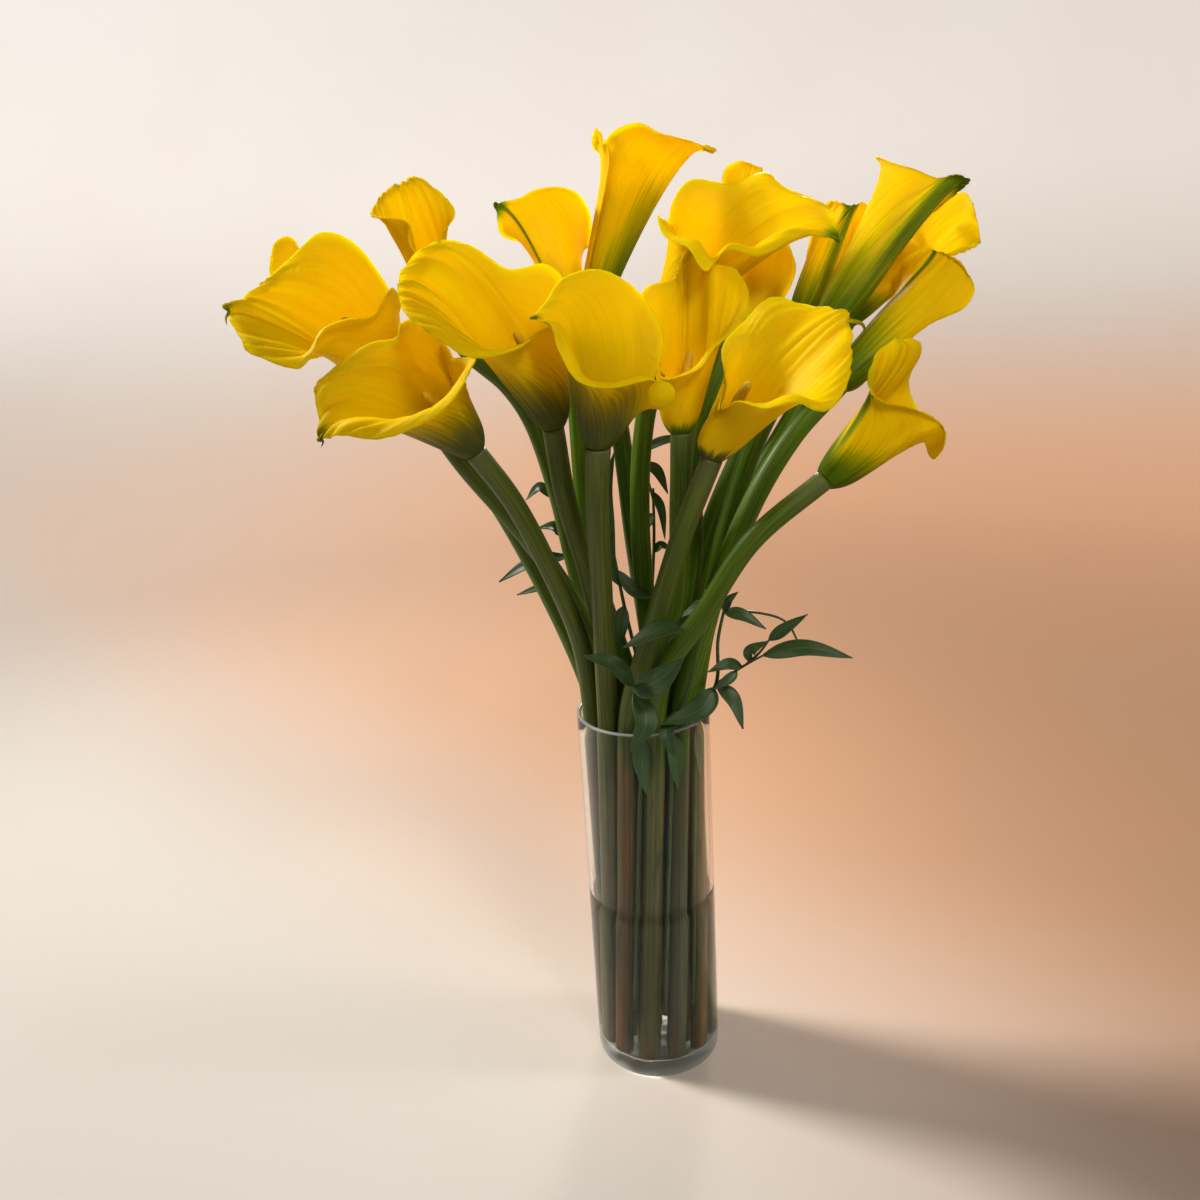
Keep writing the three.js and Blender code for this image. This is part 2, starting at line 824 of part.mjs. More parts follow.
function manifoldOf(geometry) {
  const bare = geometry.clone();
  bare.deleteAttribute("normal");
  bare.deleteAttribute("uv");
  const merged = mergeVertices(bare, 1e-3);
  return new wasm.Manifold(
    new wasm.Mesh({
      numProp: 3,
      vertProperties: new Float32Array(merged.attributes.position.array),
      triVerts: new Uint32Array(merged.index.array),
    }),
  );
}

function geometryOf(solid) {
  const mesh = solid.getMesh();
  const geometry = new THREE.BufferGeometry();
  geometry.setAttribute("position", new THREE.Float32BufferAttribute(mesh.vertProperties, 3));
  geometry.setIndex(Array.from(mesh.triVerts));
  return geometry;
}

// The straight rod that a stem fills in the vase, grown by the gap.
function stemHole(line, radius, sides) {
  const side = new THREE.Vector3(1, 0, 0);
  const start = line.foot.clone().addScaledVector(line.direction, -GAP / line.direction.z);
  return lofted([
    ringAt(start, new THREE.Vector3(0, 0, 1), side, radius + GAP, sides),
    ringAt(line.mouth, line.direction, side, radius + GAP, sides),
  ]);
}

// Water fills the vase up to its level, with a hole for each stem that stands in it.
function water() {
  const radius = VASE.radius - VASE.wall - GAP;
  const bottom = VASE.floor + GAP;
  const profile = [
    [0, bottom],
    [radius - VASE.round, bottom],
    [radius, bottom + VASE.round],
    [radius, WATER_LEVEL],
    [0, WATER_LEVEL],
  ];
  const fill = new THREE.LatheGeometry(profile.map(([r, z]) => new THREE.Vector2(r, z)), VASE.sides);
  let body = manifoldOf(fill.rotateX(Math.PI / 2));
  for (const bloom of BLOOMS) {
    const line = vaseLine(bloom.stands);
    body = body.subtract(manifoldOf(stemHole(line, STEM.vaseRadius, STEM.sides)));
  }
  for (const spray of SPRAYS) {
    const line = vaseLine(spray.stands, RUSCUS.footHeight);
    body = body.subtract(manifoldOf(stemHole(line, RUSCUS.stemRadius, RUSCUS.sides)));
  }
  return geometryOf(body);
}

// A leaf blade along its root, middle and tip, folded a little along the midrib.
function leaf(points, width, turn) {
  const curve = new THREE.CatmullRomCurve3(points);
  const front = new THREE.Vector3(0, -0.75, 0.66);
  const grid = RUSCUS.profile.map((share, row) => {
    const at = row / (RUSCUS.profile.length - 1);
    const along = curve.getTangent(at);
    const across = along.clone().cross(front).normalize().applyAxisAngle(along, radians(turn));
    const face = across.clone().cross(along);
    const half = (width * share) / 2;
    return [-1, 0, 1].map((place) =>
      curve
        .getPoint(at)
        .addScaledVector(across, place * half)
        .addScaledVector(face, Math.abs(place) * half * RUSCUS.fold),
    );
  });
  return sheetSolid(grid, RUSCUS.thickness);
}

function twigRings(points) {
  const curve = new THREE.CatmullRomCurve3(points);
  const steps = (points.length - 1) * 2;
  const side = new THREE.Vector3(0, 1, 0);
  return Array.from({ length: steps + 1 }, (_, step) => {
    const at = step / steps;
    const radius = RUSCUS.twigRadius * (1 - at / 3);
    return ringAt(curve.getPoint(at), curve.getTangent(at), side, radius, RUSCUS.sides);
  });
}

// The point nearest to "from" on any of some lines of points: a leaf or a twig roots there.
function rootOn(lines, from) {
  const nearest = (start, end) =>
    new THREE.Line3(start, end).closestPointToPoint(from, true, new THREE.Vector3());
  const found = lines.flatMap((line) => line.slice(1).map((end, k) => nearest(line[k], end)));
  return found.reduce((best, p) => (p.distanceTo(from) < best.distanceTo(from) ? p : best));
}

// A spray grown together: its stem, then each twig on the stem and each leaf on either.
function spray(form) {
  const radii = [RUSCUS.stemRadius, RUSCUS.twigRadius];
  const line = vaseLine(form.stands, RUSCUS.footHeight);
  const stemOf = stemRings(line, [...form.bends].reverse(), radii, RUSCUS.steps, RUSCUS.sides);
  const lines = [stemOf.map(centreOf)];
  let body = manifoldOf(lofted(stemOf));
  for (const points of form.twigs.map((twig) => twig.map(onPicture))) {
    const rings = twigRings([rootOn(lines, points[0]), ...points.slice(1)]);
    lines.push(rings.map(centreOf));
    body = body.add(manifoldOf(lofted(rings)));
  }
  for (const [base, middle, tip, width, turn] of form.leaves) {
    const points = [rootOn(lines, onPicture(base)), onPicture(middle), onPicture(tip)];
    body = body.add(manifoldOf(leaf(points, width, turn)));
  }
  return geometryOf(body);
}

function named(name, geometry, colour, roughness) {
  const mesh = new THREE.Mesh(geometry, new THREE.MeshStandardMaterial({ color: colour, roughness }));
  mesh.name = name;
  return mesh;
}

const arrangement = new THREE.Group();
arrangement.add(named("vase", vase(), COLOURS.glass, 0.05));
arrangement.add(named("water", water(), COLOURS.water, 0.05));
for (const bloom of BLOOMS) {
  arrangement.add(named(`stem_${bloom.name}`, stem(bloom), COLOURS.stem, 0.5));
  arrangement.add(named(`spathe_${bloom.name}`, spathe(bloom), COLOURS.spathe, 0.45));
  arrangement.add(named(`spadix_${bloom.name}`, spadix(bloom), COLOURS.spadix, 0.8));
}
for (const form of SPRAYS) {
  arrangement.add(named(`ruscus_${form.name}`, spray(form), COLOURS.ruscus, 0.45));
}

export default arrangement;
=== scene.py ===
# The looks of a vase of yellow calla lilies with sprays of ruscus between their stems.
# Lengths are in millimetres until a mesh is made of them, and the scene is in metres.
from math import atan2, cos, pi, radians, sin

import bpy
import numpy as np
from mathutils import Matrix, Vector


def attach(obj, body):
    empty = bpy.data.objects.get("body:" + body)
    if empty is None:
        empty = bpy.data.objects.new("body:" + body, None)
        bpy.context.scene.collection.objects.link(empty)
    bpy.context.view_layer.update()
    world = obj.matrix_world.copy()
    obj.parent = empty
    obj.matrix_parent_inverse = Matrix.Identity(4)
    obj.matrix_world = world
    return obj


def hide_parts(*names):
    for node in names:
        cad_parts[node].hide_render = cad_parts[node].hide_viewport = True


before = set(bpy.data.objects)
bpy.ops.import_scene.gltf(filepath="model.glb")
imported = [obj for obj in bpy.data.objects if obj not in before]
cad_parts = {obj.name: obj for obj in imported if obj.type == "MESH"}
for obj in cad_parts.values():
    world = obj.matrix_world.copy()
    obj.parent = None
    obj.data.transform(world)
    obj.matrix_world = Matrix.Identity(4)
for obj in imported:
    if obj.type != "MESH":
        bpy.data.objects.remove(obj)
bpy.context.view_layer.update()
scene = bpy.context.scene

METRE = 1000

# Clearance left between pieces that touch.
GAP = 0.3

VASE = {"height": 300, "radius": 50, "wall": 3, "floor": 14, "corner": 3.2, "foot_round": 3.4}
WATER = {"level": 147, "climb": 1.9, "climb_width": 2.4, "corner_height": 3.15}
TURNED_SIDES = 128

# Heights in metres: between these the vase's lip begins, white and rougher, partly a ground lip and partly
# a painted highlight along the rim, and this high its foot is paler and less clear, a painted brightness.
LIP_RISE = (0.2979, 0.2992)
PAINTED_PALE_FOOT = 0.012

# The stems stand in two rings inside the vase and twist gently on the way down. A place
# is the ring's radius and the angle at the mouth, in degrees.
OUTER = 38.5
INNER = 19
SPRAY_RING = 44.2
STEM_TWIST = -24
STEM = {"vase_radius": 7.3, "neck_radius": 7.1, "lead": 60, "rings": 64, "sides": 28}

# The stem narrows to a plug where the spathe wraps it.
PLUG = {"radius": 5, "height": 7}

# A spathe starts at the base radius, swells within the tube's rise to the tube radius and
# opens to its rim. Past the notch its outer margin is lifted and laps the inner one.
SPATHE = {
    "base_radius": 6.1,
    "tube_rise": 13,
    "throat": 0.46,
    "narrowest": 11,
    "lap": 1 / 14,
    "lap_reach": 0.8,
    "base_thickness": 0.9,
    "rim_thickness": 0.45,
    "columns": 156,
    "rows": 46,
}

# Round a spathe v runs from 0 at the notch to 1 at the notch again, with the tip here,
# and u runs from 0 at its base to 1 at its rim.
TIP = 0.5

# Heights of a spathe's relief. Its folds are parted by creases a fold's width apart, and
# its ribs run with the veins, which crowd together by the narrowing towards the tip.
RELIEF = {"lift": 2.2, "folds": 2, "crease": 1.1, "ribs": 0.2, "ruffle": 1.1, "midrib": 0.45, "curl": 0.9}
FOLD_WIDTH = 0.14
RIB_COUNT = 15
NARROWING = 0.72

SPADIX = {"length": 52, "radius": 3.6, "sides": 44, "rings": 84, "florets": 11, "turns": 17}
LEAF = {"thickness": 0.6, "fold": 0.192, "rows": 22, "columns": 13}
SPRAY = {"foot_height": 60, "rings": 40, "sides": 10, "stem_radius": 1.5, "twig_radius": 1.1}

# Blooms and leaves are laid out on a picture plane: a point is its place in a square
# view 1200 across, and its depth, the world y in millimetres.
VIEW = {"eye": (-27.4, -695.8, 604.4), "pitch": 17.4, "roll": -3.48, "focal": 1000, "centre": 600}

# What a bloom has where its entry doesn't say: the radius of its tube, how far the green
# of the stem runs up it, how strong the green of its midrib and tip are, how greyed the
# greens are, how deep the folds are, how far the green leans away from the midrib, how
# much thicker the stem's end is, and the widths and the place of midrib and tip.
USUAL = dict(
    tube=18, base=0.2, midrib=0.2, tip=0.1, olive=0, folds=0.6, lean=0, girth=0,
    rib_width=0.016, rib_at=TIP, tip_width=0.022,
)

# One entry a bloom. "stands" is its place at the mouth of the vase, "bends" are the
# points that its stem passes on the way down, the first of them its neck, and "spadix" is
# the end of its spadix. "rust" is how rusty the foot of the stem is. A tail, which some
# tips run out into, is its points, and its radius at the tip and at its end. A scroll is
# the middle and the radius of a rolled corner of the rim. "apex" is the tip's entry in
# the rim.
BLOOMS = {
    "a": dict(
        stands=[INNER, 128], bends=[[418, 398, -8], [462, 462, -4], [545, 560, 4]], spadix=[342, 318, -44],
        tip=0.5, olive=0.6, folds=1.6, tail=([[229, 311, -68], [226, 318, -68], [227, 326, -68]], 1.4, 0.2),
        apex=8,
    ),
    "a2": dict(
        stands=[OUTER, 160], bends=[[398, 392, 42], [470, 465, 34], [532, 562, 26]], midrib=0.1, olive=0.3,
        rust=1, apex=4,
    ),
    "b": dict(
        stands=[OUTER, 190], bends=[[475, 452, -62], [512, 500, -50], [545, 560, -38], [580, 640, -18]],
        spadix=[423, 393, -92], base=0.5, tip=0.7, olive=0.9, rust=1, folds=1.4,
        tail=([[323, 441, -112], [321, 448, -112]], 1.2, 0.15), apex=7,
    ),
    "c": dict(
        stands=[OUTER, 130],
        bends=[
            [450, 326, 16], [470, 352, 18], [508, 385, 24], [532, 420, 28], [557, 490, 32], [574, 560, 34],
        ],
        tube=13, spadix=[432, 272, 5], base=0.25, midrib=0.3, tip=0.5, olive=0.2, folds=1.5, apex=6,
    ),
    "d": dict(
        stands=[INNER, 200], bends=[[553, 428, -52], [566, 500, -42], [590, 580, -28]],
        spadix=[514, 332, -72], base=0.45, olive=0.9, folds=2.1, apex=6,
    ),
    "e": dict(
        stands=[OUTER, 225], bends=[[598, 448, -82], [597, 500, -76], [602, 600, -50]],
        spadix=[600, 394, -88], base=0.64, tip=0.5, olive=1, girth=0.9, rust=0.5,
        tail=([[537, 317, -106], [530, 317, -106]], 1.2, 0.2), scroll=([661.5, 395.5, -111], 8.2), apex=8,
    ),
    "f": dict(
        stands=[INNER, 272], bends=[[681, 432, -42], [680, 500, -36], [676, 600, -30]],
        spadix=[691, 350, -44], base=0.12, tip=0, olive=0.4, folds=1.2, apex=7,
    ),
    "g": dict(
        stands=[OUTER, 70], bends=[[594, 322, 72], [618, 420, 58], [634, 540, 48]], tube=15,
        spadix=[614, 252, 72], base=0.68, tip=0.05, folds=0.4, lean=0.35,
        tail=([[704, 147, 78], [713, 149, 78]], 2.2, 1.8), apex=6,
    ),
    "h": dict(
        stands=[OUTER, 100], bends=[[572, 320, 48], [578, 420, 56], [592, 560, 44]], tube=15, base=0.3,
        midrib=1, tip=0.9, rib_width=0.014, tip_width=0.04, tail=([[495, 209, 35]], 1.3, 0.4), apex=6,
    ),
    "i": dict(
        stands=[INNER, 56], bends=[[666, 335, 12], [645, 420, 12], [640, 520, 14]], spadix=[688, 262, -8],
        tip=0.9, olive=0.1, folds=0.9, tail=([[839, 243, -15]], 1.4, 0.2), apex=8,
    ),
    "j": dict(
        stands=[INNER, 344], bends=[[732, 338, 8], [703, 410, 0], [693, 480, -2], [693, 560, -4]],
        olive=0.1, folds=0.5, apex=4,
    ),
    "k": dict(
        stands=[OUTER, 250], bends=[[712, 458, -88], [682, 535, -80], [651, 635, -62], [634, 690, -48]],
        spadix=[750, 382, -114], base=0.12, tip=0.5, olive=0.8, folds=1.5,
        tail=([[862, 324, -99], [865, 331, -98], [866, 338, -98]], 1.3, 0.2), apex=7,
    ),
    "l": dict(
        stands=[OUTER, 40], bends=[[797, 332, 48], [744, 445, 44], [706, 540, 36]], base=0.45, midrib=1,
        tip=1, rib_width=0.08, rib_at=0.53, tip_width=0.04,
        tail=([[847, 212, 36], [839, 223, 35]], 1.3, 0.3), apex=5,
    ),
    "m": dict(
        stands=[OUTER, 340], bends=[[820, 336, -6], [770, 410, -14], [733, 505, -14]], base=0.52, midrib=1,
        tip=1, folds=0.5, rib_width=0.11, rib_at=0.46, tip_width=0.08, lean=0.1, apex=7,
    ),
    "n": dict(
        stands=[OUTER, 10], bends=[[846, 322, 60], [796, 410, 42], [742, 510, 28]], base=0.3, midrib=0.3,
        tip=0.2, folds=1, apex=6,
    ),
    "o": dict(
        stands=[OUTER, 310], bends=[[840, 384, -26], [790, 440, -34], [740, 530, -40]], base=0.4, midrib=1,
        tip=0.3, olive=0.1, folds=0.8, rib_width=0.032, rib_at=0.42, apex=3,
    ),
    "p": dict(
        stands=[OUTER, 280], bends=[[824, 480, -62], [752, 541, -67], [702, 616, -62], [664, 672, -53]],
        base=0.36, midrib=1, olive=0.4, folds=1.5, rib_width=0.03, rib_at=0.39, apex=8,
    ),
}

# The rims run from the notch along the outer margin to the tip, and back along the inner
# one. Each entry is x, y, depth and flare, in hundredths: below 100 the sheet still rises
# there, at 100 it lies flat and above 100 it rolls back.
RIMS = {
    "a": [
        [395, 305, -12, 80], [389, 286, -34, 90], [374, 314, -52, 100], [345, 318, -66, 100],
        [322, 332, -78, 105], [300, 367, -92, 110], [262, 358, -88, 110], [234, 330, -76, 105],
        [224, 306, -66, 100], [250, 291, -56, 95], [285, 262, -40, 90], [322, 231, -24, 85],
        [355, 243, -14, 85], [385, 280, -8, 85],
    ],
    "a2": [
        [372, 312, 44, 80], [330, 352, 10, 100], [290, 360, -4, 110], [246, 350, -6, 110],
        [240, 322, 4, 100], [268, 286, 22, 95], [271, 256, 34, 90], [275, 241, 38, 90], [288, 235, 42, 90],
        [299, 242, 46, 88], [303, 258, 48, 85], [345, 280, 52, 80],
    ],
    "b": [
        [450, 357, -76, 80], [474, 357, -88, 100], [470, 370, -100, 105], [452, 400, -118, 115],
        [425, 420, -128, 120], [380, 438, -132, 120], [340, 435, -124, 115], [319, 440, -112, 110],
        [318, 412, -104, 100], [315, 388, -96, 95], [337, 366, -86, 90], [370, 343, -78, 85],
        [396, 337, -74, 85], [400, 323, -70, 85], [415, 318, -68, 85], [438, 330, -68, 85],
    ],
    "c": [
        [430, 258, -16, 85], [411, 243, -21, 90], [406, 222, -17, 95], [388, 217, -17, 100],
        [370, 214, -12, 105], [379, 196, -2, 105], [396, 185, 12, 105], [415, 175, 18, 100],
        [445, 195, 16, 95], [455, 213, 8, 95], [444, 231, 0, 90], [437, 246, -9, 85],
    ],
    "d": [
        [572, 318, -46, 75], [543, 326, -80, 95], [515, 349, -108, 105], [470, 356, -118, 110],
        [430, 332, -112, 110], [404, 312, -100, 105], [397, 291, -92, 100], [404, 266, -82, 95],
        [437, 240, -64, 90], [470, 245, -56, 85], [508, 268, -52, 80], [548, 264, -42, 80],
        [570, 288, -38, 75],
    ],
    "e": [
        [655, 378, -80, 80], [662, 408, -98, 100], [671, 394, -106, 110], [655, 379, -112, 110],
        [612, 386, -125, 115], [580, 380, -125, 115], [560, 350, -118, 110], [549, 322, -108, 105],
        [531, 318, -104, 100], [546, 300, -96, 95], [562, 277, -84, 90], [598, 269, -72, 85],
        [635, 286, -66, 85], [657, 315, -66, 85], [665, 345, -72, 85],
    ],
    "f": [
        [664, 372, -56, 85], [672, 374, -68, 100], [698, 367, -72, 110], [716, 346, -62, 110],
        [744, 321, -50, 105], [751, 298, -42, 100], [738, 271, -42, 95], [710, 263, -50, 95],
        [689, 249, -46, 95], [680, 260, -44, 95], [673, 277, -42, 100], [650, 284, -42, 100],
        [638, 300, -46, 100], [646, 340, -52, 95],
    ],
    "g": [
        [603, 143, 54, 85], [597, 127, 60, 100], [593, 147, 84, 100], [622, 160, 108, 95],
        [664, 158, 112, 100], [695, 150, 98, 106], [714, 151, 78, 110], [690, 141, 60, 108],
        [662, 131, 44, 100], [640, 122, 36, 95], [618, 127, 40, 90],
    ],
    "h": [
        [586, 244, 98, 85], [588, 214, 96, 95], [580, 195, 82, 100], [555, 185, 60, 100],
        [533, 189, 50, 100], [516, 199, 42, 105], [495, 204, 36, 105], [499, 232, 50, 110],
        [515, 241, 68, 110], [540, 240, 92, 100], [553, 228, 114, 95], [580, 225, 112, 85],
    ],
    "i": [
        [670, 220, 2, 80], [659, 213, -12, 100], [664, 236, -38, 120], [688, 248, -54, 130],
        [706, 270, -64, 135], [728, 250, -48, 120], [760, 256, -38, 115], [803, 236, -27, 110],
        [839, 240, -14, 105], [831, 208, -5, 100], [785, 188, 12, 95], [765, 172, 22, 95],
        [735, 183, 24, 90], [690, 180, 20, 90], [672, 203, 8, 85],
    ],
    "j": [
        [738, 235, 70, 85], [722, 190, 52, 95], [726, 166, 46, 100], [742, 160, 44, 105],
        [762, 168, 42, 105], [778, 200, 36, 100], [790, 245, 26, 105], [797, 270, 20, 125],
        [783, 299, 28, 110], [778, 262, 58, 100], [755, 240, 80, 90],
    ],
    "k": [
        [722, 408, -102, 85], [736, 399, -120, 95], [765, 408, -136, 110], [795, 402, -140, 115],
        [826, 411, -136, 115], [848, 384, -122, 110], [853, 350, -108, 105], [851, 320, -97, 100],
        [846, 309, -92, 100], [808, 303, -80, 90], [770, 297, -72, 90], [745, 320, -72, 90],
        [722, 348, -82, 90], [728, 386, -92, 85],
    ],
    "l": [
        [850, 250, 100, 85], [815, 238, 84, 100], [806, 258, 68, 110], [818, 215, 62, 105],
        [832, 200, 52, 100], [854, 205, 40, 105], [862, 200, 46, 100], [874, 215, 66, 100],
        [868, 240, 90, 95],
    ],
    "m": [
        [912, 195, 78, 90], [885, 165, 58, 95], [875, 156, 40, 105], [890, 161, 28, 100],
        [915, 168, 18, 100], [938, 177, 10, 100], [958, 174, 2, 105], [970, 181, -2, 110],
        [947, 203, 12, 110], [930, 214, 34, 105], [925, 205, 62, 100],
    ],
    "n": [
        [902, 230, 80, 85], [908, 212, 94, 90], [925, 190, 104, 95], [948, 190, 100, 100],
        [966, 193, 86, 100], [976, 215, 66, 100], [981, 243, 50, 100], [960, 251, 44, 95],
        [943, 257, 46, 95], [928, 249, 52, 95], [914, 242, 64, 90],
    ],
    "o": [
        [898, 288, 48, 85], [905, 262, 40, 90], [925, 248, 30, 95], [943, 254, 24, 110],
        [962, 266, 16, 110], [975, 289, 8, 100], [963, 310, 4, 95], [944, 318, 2, 95], [914, 323, 12, 90],
        [899, 310, 34, 85],
    ],
    "p": [
        [927, 432, -42, 70], [937, 460, -84, 185], [946, 443, -88, 135], [940, 422, -82, 105],
        [915, 409, -80, 100], [885, 402, -82, 105], [870, 385, -80, 105], [876, 355, -70, 100],
        [893, 339, -60, 100], [919, 342, -46, 100], [913, 365, -38, 95], [911, 392, -34, 90],
        [922, 415, -34, 76],
    ],
}

# One entry a spray of ruscus. Its stem stands in the vase as a bloom's does, "bends" are
# the points that it passes on the way down from its end, and a twig is its points from
# the stem outwards. A leaf is its base, middle and tip, its width, and how far its face
# is turned from the front, in degrees.
SPRAYS = {
    "right": dict(
        stands=[SPRAY_RING, 325], bends=[[724, 610, 2], [718, 640, -8], [716, 684, -20]],
        twigs=[
            [[717, 684, -20], [747, 664, -28], [764, 655, -32]],
            [[747, 664, -28], [760, 652, -28], [769, 640, -26]],
            [[724, 612, 2], [760, 613, -4], [786, 622, -10], [800, 646, -14]],
        ],
        leaves=[
            [[763, 655, -32], [805, 648, -42], [853, 658, -50], 13, 0],
            [[769, 640, -26], [784, 629, -26], [808, 614, -26], 9, 20],
            [[750, 661, -28], [750, 651, -34], [768, 641, -38], 9, 20],
            [[724, 612, 2], [742, 615, -4], [766, 629, -10], 10, 0],
            [[724, 612, 2], [728, 601, 0], [738, 592, -2], 7, 0],
            [[742, 667, -27], [728, 664, -30], [708, 672, -34], 9, 0],
            [[736, 671, -26], [728, 680, -34], [712, 690, -42], 8, 10],
            [[717, 684, -20], [733, 700, -28], [743, 729, -34], 13, -20],
            [[717, 690, -20], [699, 710, -44], [661, 725, -66], 18, 10],
            [[694, 724, -25.8], [696, 748, -25.8], [698, 776, -24.5], 12, -55],
        ],
    ),
    "front": dict(
        stands=[SPRAY_RING, 265], bends=[[634, 684, -66], [636, 700, -60]],
        leaves=[
            [[634, 686, -66], [612, 664, -82], [584, 656, -90], 14, 10],
            [[634, 690, -66], [657, 682, -84], [684, 658, -94], 19, 10],
            [[635, 694, -64], [646, 722, -76], [630, 752, -84], 16, -10],
            [[640, 738, -44], [642, 762, -44.7], [646, 793, -44.8], 13, 5],
        ],
    ),
    "middle": dict(
        stands=[SPRAY_RING, 295], bends=[[706, 590, -50], [700, 630, -49], [688, 690, -50]],
        twigs=[
            [[702, 614, -49], [690, 621, -51], [679, 627, -58]],
        ],
        leaves=[
            [[681, 626, -57], [663, 628, -84], [623, 648, -99], 15.5, 10],
            [[703, 602, -50], [694, 609, -46], [681, 617, -42], 9, 20],
            [[680, 712, -46], [666, 735, -64], [675, 757, -68], 10, 0],
            [[672, 734, -40.3], [674, 758, -40.7], [677, 788, -40], 13, -25],
        ],
    ),
    "left": dict(
        stands=[SPRAY_RING, 145], bends=[[551, 496, 58], [564, 540, 56], [588, 630, 46]],
        leaves=[
            [[551, 497, 58], [540, 487, 58], [526, 500, 60], 9, 10],
            [[564, 534, 56], [554, 527, 54], [538, 528, 52], 12, 20],
            [[568, 556, 55], [532, 562, 46], [499, 582, 44], 12, 10],
            [[574, 580, 52], [545, 586, 48], [517, 595, 46], 9, 10],
        ],
    ),
    "back": dict(
        stands=[SPRAY_RING, 85], bends=[[653, 488, 62], [654, 540, 62], [650, 620, 56]],
        twigs=[
            [[653, 500, 62], [646, 470, 54], [644, 448, 44]],
        ],
        leaves=[
            [[645, 462, 52], [657, 471, 50], [668, 494, 50], 9, 0],
            [[653, 492, 62], [661, 508, 58], [665, 540, 56], 7, 20],
            [[654, 514, 62], [647, 522, 64], [634, 541, 68], 10, 0],
            [[654, 552, 62], [661, 545, 60], [671, 550, 58], 7, 0],
            [[644, 450, 44], [662, 441, 40], [690, 436, 36], 8, 0],
        ],
    ),
    "centre": dict(
        stands=[3, 0], bends=[[612, 545, 22], [623, 600, 10]],
        leaves=[
            [[612, 547, 22], [606, 495, 24], [614, 452, 26], 10, 10],
            [[620, 570, 18], [636, 592, 8], [656, 598, 0], 10, 0],
            [[624, 585, 16], [612, 570, 14], [614, 520, 12], 9, 30],
            [[624, 606, 10], [619, 628, 2], [614, 662, -6], 13, 0],
        ],
    ),
}


def unit(vectors):
    return vectors / np.linalg.norm(vectors, axis=-1, keepdims=True)


def smooth(low, high, value):
    """A soft step from 0 at low to 1 at high."""
    part = np.clip((value - low) / (high - low), 0, 1)
    return part * part * (3 - 2 * part)


def peak(value, middle, width):
    return np.exp(-(((value - middle) / width) ** 2))


def down(count):
    """A column of shares from 0 to 1, one for each row of a grid."""
    return np.linspace(0, 1, count)[:, None]


def around(count):
    """A row of shares of a turn, one for each column of a grid that closes."""
    return np.linspace(0, 1, count, endpoint=False)[None]


def wander(turn, knots, seed):
    """A smooth closed run of values between -1 and 1, with so many knots in a turn."""
    values = np.random.default_rng(seed).uniform(-1, 1, knots)
    place = (turn % 1) * knots
    low = np.floor(place).astype(int)
    part = smooth(0, 1, place - low)
    return values[low % knots] * (1 - part) + values[(low + 1) % knots] * part


def view_axes():
    """The view's right, up and forward directions."""
    pitch = radians(VIEW["pitch"])
    roll = radians(VIEW["roll"])
    ahead = np.array([0, cos(pitch), -sin(pitch)])
    level = np.array([1, 0, 0])
    above = np.array([0, sin(pitch), cos(pitch)])
    right = level * cos(roll) + above * sin(roll)
    up = above * cos(roll) - level * sin(roll)
    return right, up, ahead


def on_picture(point):
    """The world point seen at (x, y) in the view and lying at the given depth."""
    x, y, depth = point[:3]
    right, up, ahead = view_axes()
    ray = ahead * VIEW["focal"] + right * (x - VIEW["centre"]) + up * (VIEW["centre"] - y)
    eye = np.array(VIEW["eye"])
    return eye + ray * ((depth - eye[1]) / ray[1])


def laid_out(points):
    return [on_picture(point) for point in points]


def curve_at(points, shares):
    """Points of the centripetal Catmull-Rom curve through some points."""
    points = np.asarray(points, float)
    held = np.vstack([2 * points[0] - points[1], points, 2 * points[-1] - points[-2]])
    place = np.clip(np.atleast_1d(shares), 0, 1) * (len(points) - 1)
    whole = np.minimum(place.astype(int), len(points) - 2)
    part = (place - whole)[:, None]
    p0, p1, p2, p3 = (held[whole + k] for k in range(4))
    steps = (p1 - p0, p2 - p1, p3 - p2)
    d0, d1, d2 = (np.sqrt(np.linalg.norm(step, axis=1, keepdims=True)) for step in steps)
    out = ((p1 - p0) / d0 - (p2 - p0) / (d0 + d1) + (p2 - p1) / d1) * d1
    into = ((p2 - p1) / d1 - (p3 - p1) / (d1 + d2) + (p3 - p2) / d2) * d1
    cubic = 2 * p1 - 2 * p2 + out + into
    square = -3 * p1 + 3 * p2 - 2 * out - into
    return p1 + out * part + square * part**2 + cubic * part**3


def tangents(points):
    return unit(np.gradient(points, axis=0))


def in_vase(radius, degrees, height):
    turn = radians(degrees)
    return np.array([radius * cos(turn), radius * sin(turn), height])


def stem_line(place, bends, foot_height=VASE["floor"] + GAP, rings=STEM["rings"]):
    """Centres of a stem from foot to end, and the share of each above the mouth."""
    radius, degrees = place
    foot = in_vase(radius, degrees + STEM_TWIST, VASE["floor"] + GAP)
    mouth = in_vase(radius, degrees, VASE["height"])
    direction = unit(mouth - foot)
    foot = foot + direction * ((foot_height - foot[2]) / direction[2])
    curve = [mouth - direction * STEM["lead"], mouth, *laid_out(bends[::-1])]
    start = 1 / (len(curve) - 1)
    below = np.linspace(0, 1, rings // 2, endpoint=False)
    above = np.linspace(0, 1, rings)
    straight = foot + (mouth - foot) * below[:, None]
    bent = curve_at(curve, start + (1 - start) * above)
    return np.vstack([straight, bent]), np.concatenate([below * 0, above])


def neck_of(bloom):
    """The point where a stem meets its spathe, and the stem's direction there."""
    centres, _ = stem_line(bloom["stands"], bloom["bends"], rings=4000)
    return on_picture(bloom["bends"][0]), unit(centres[-1] - centres[-2])


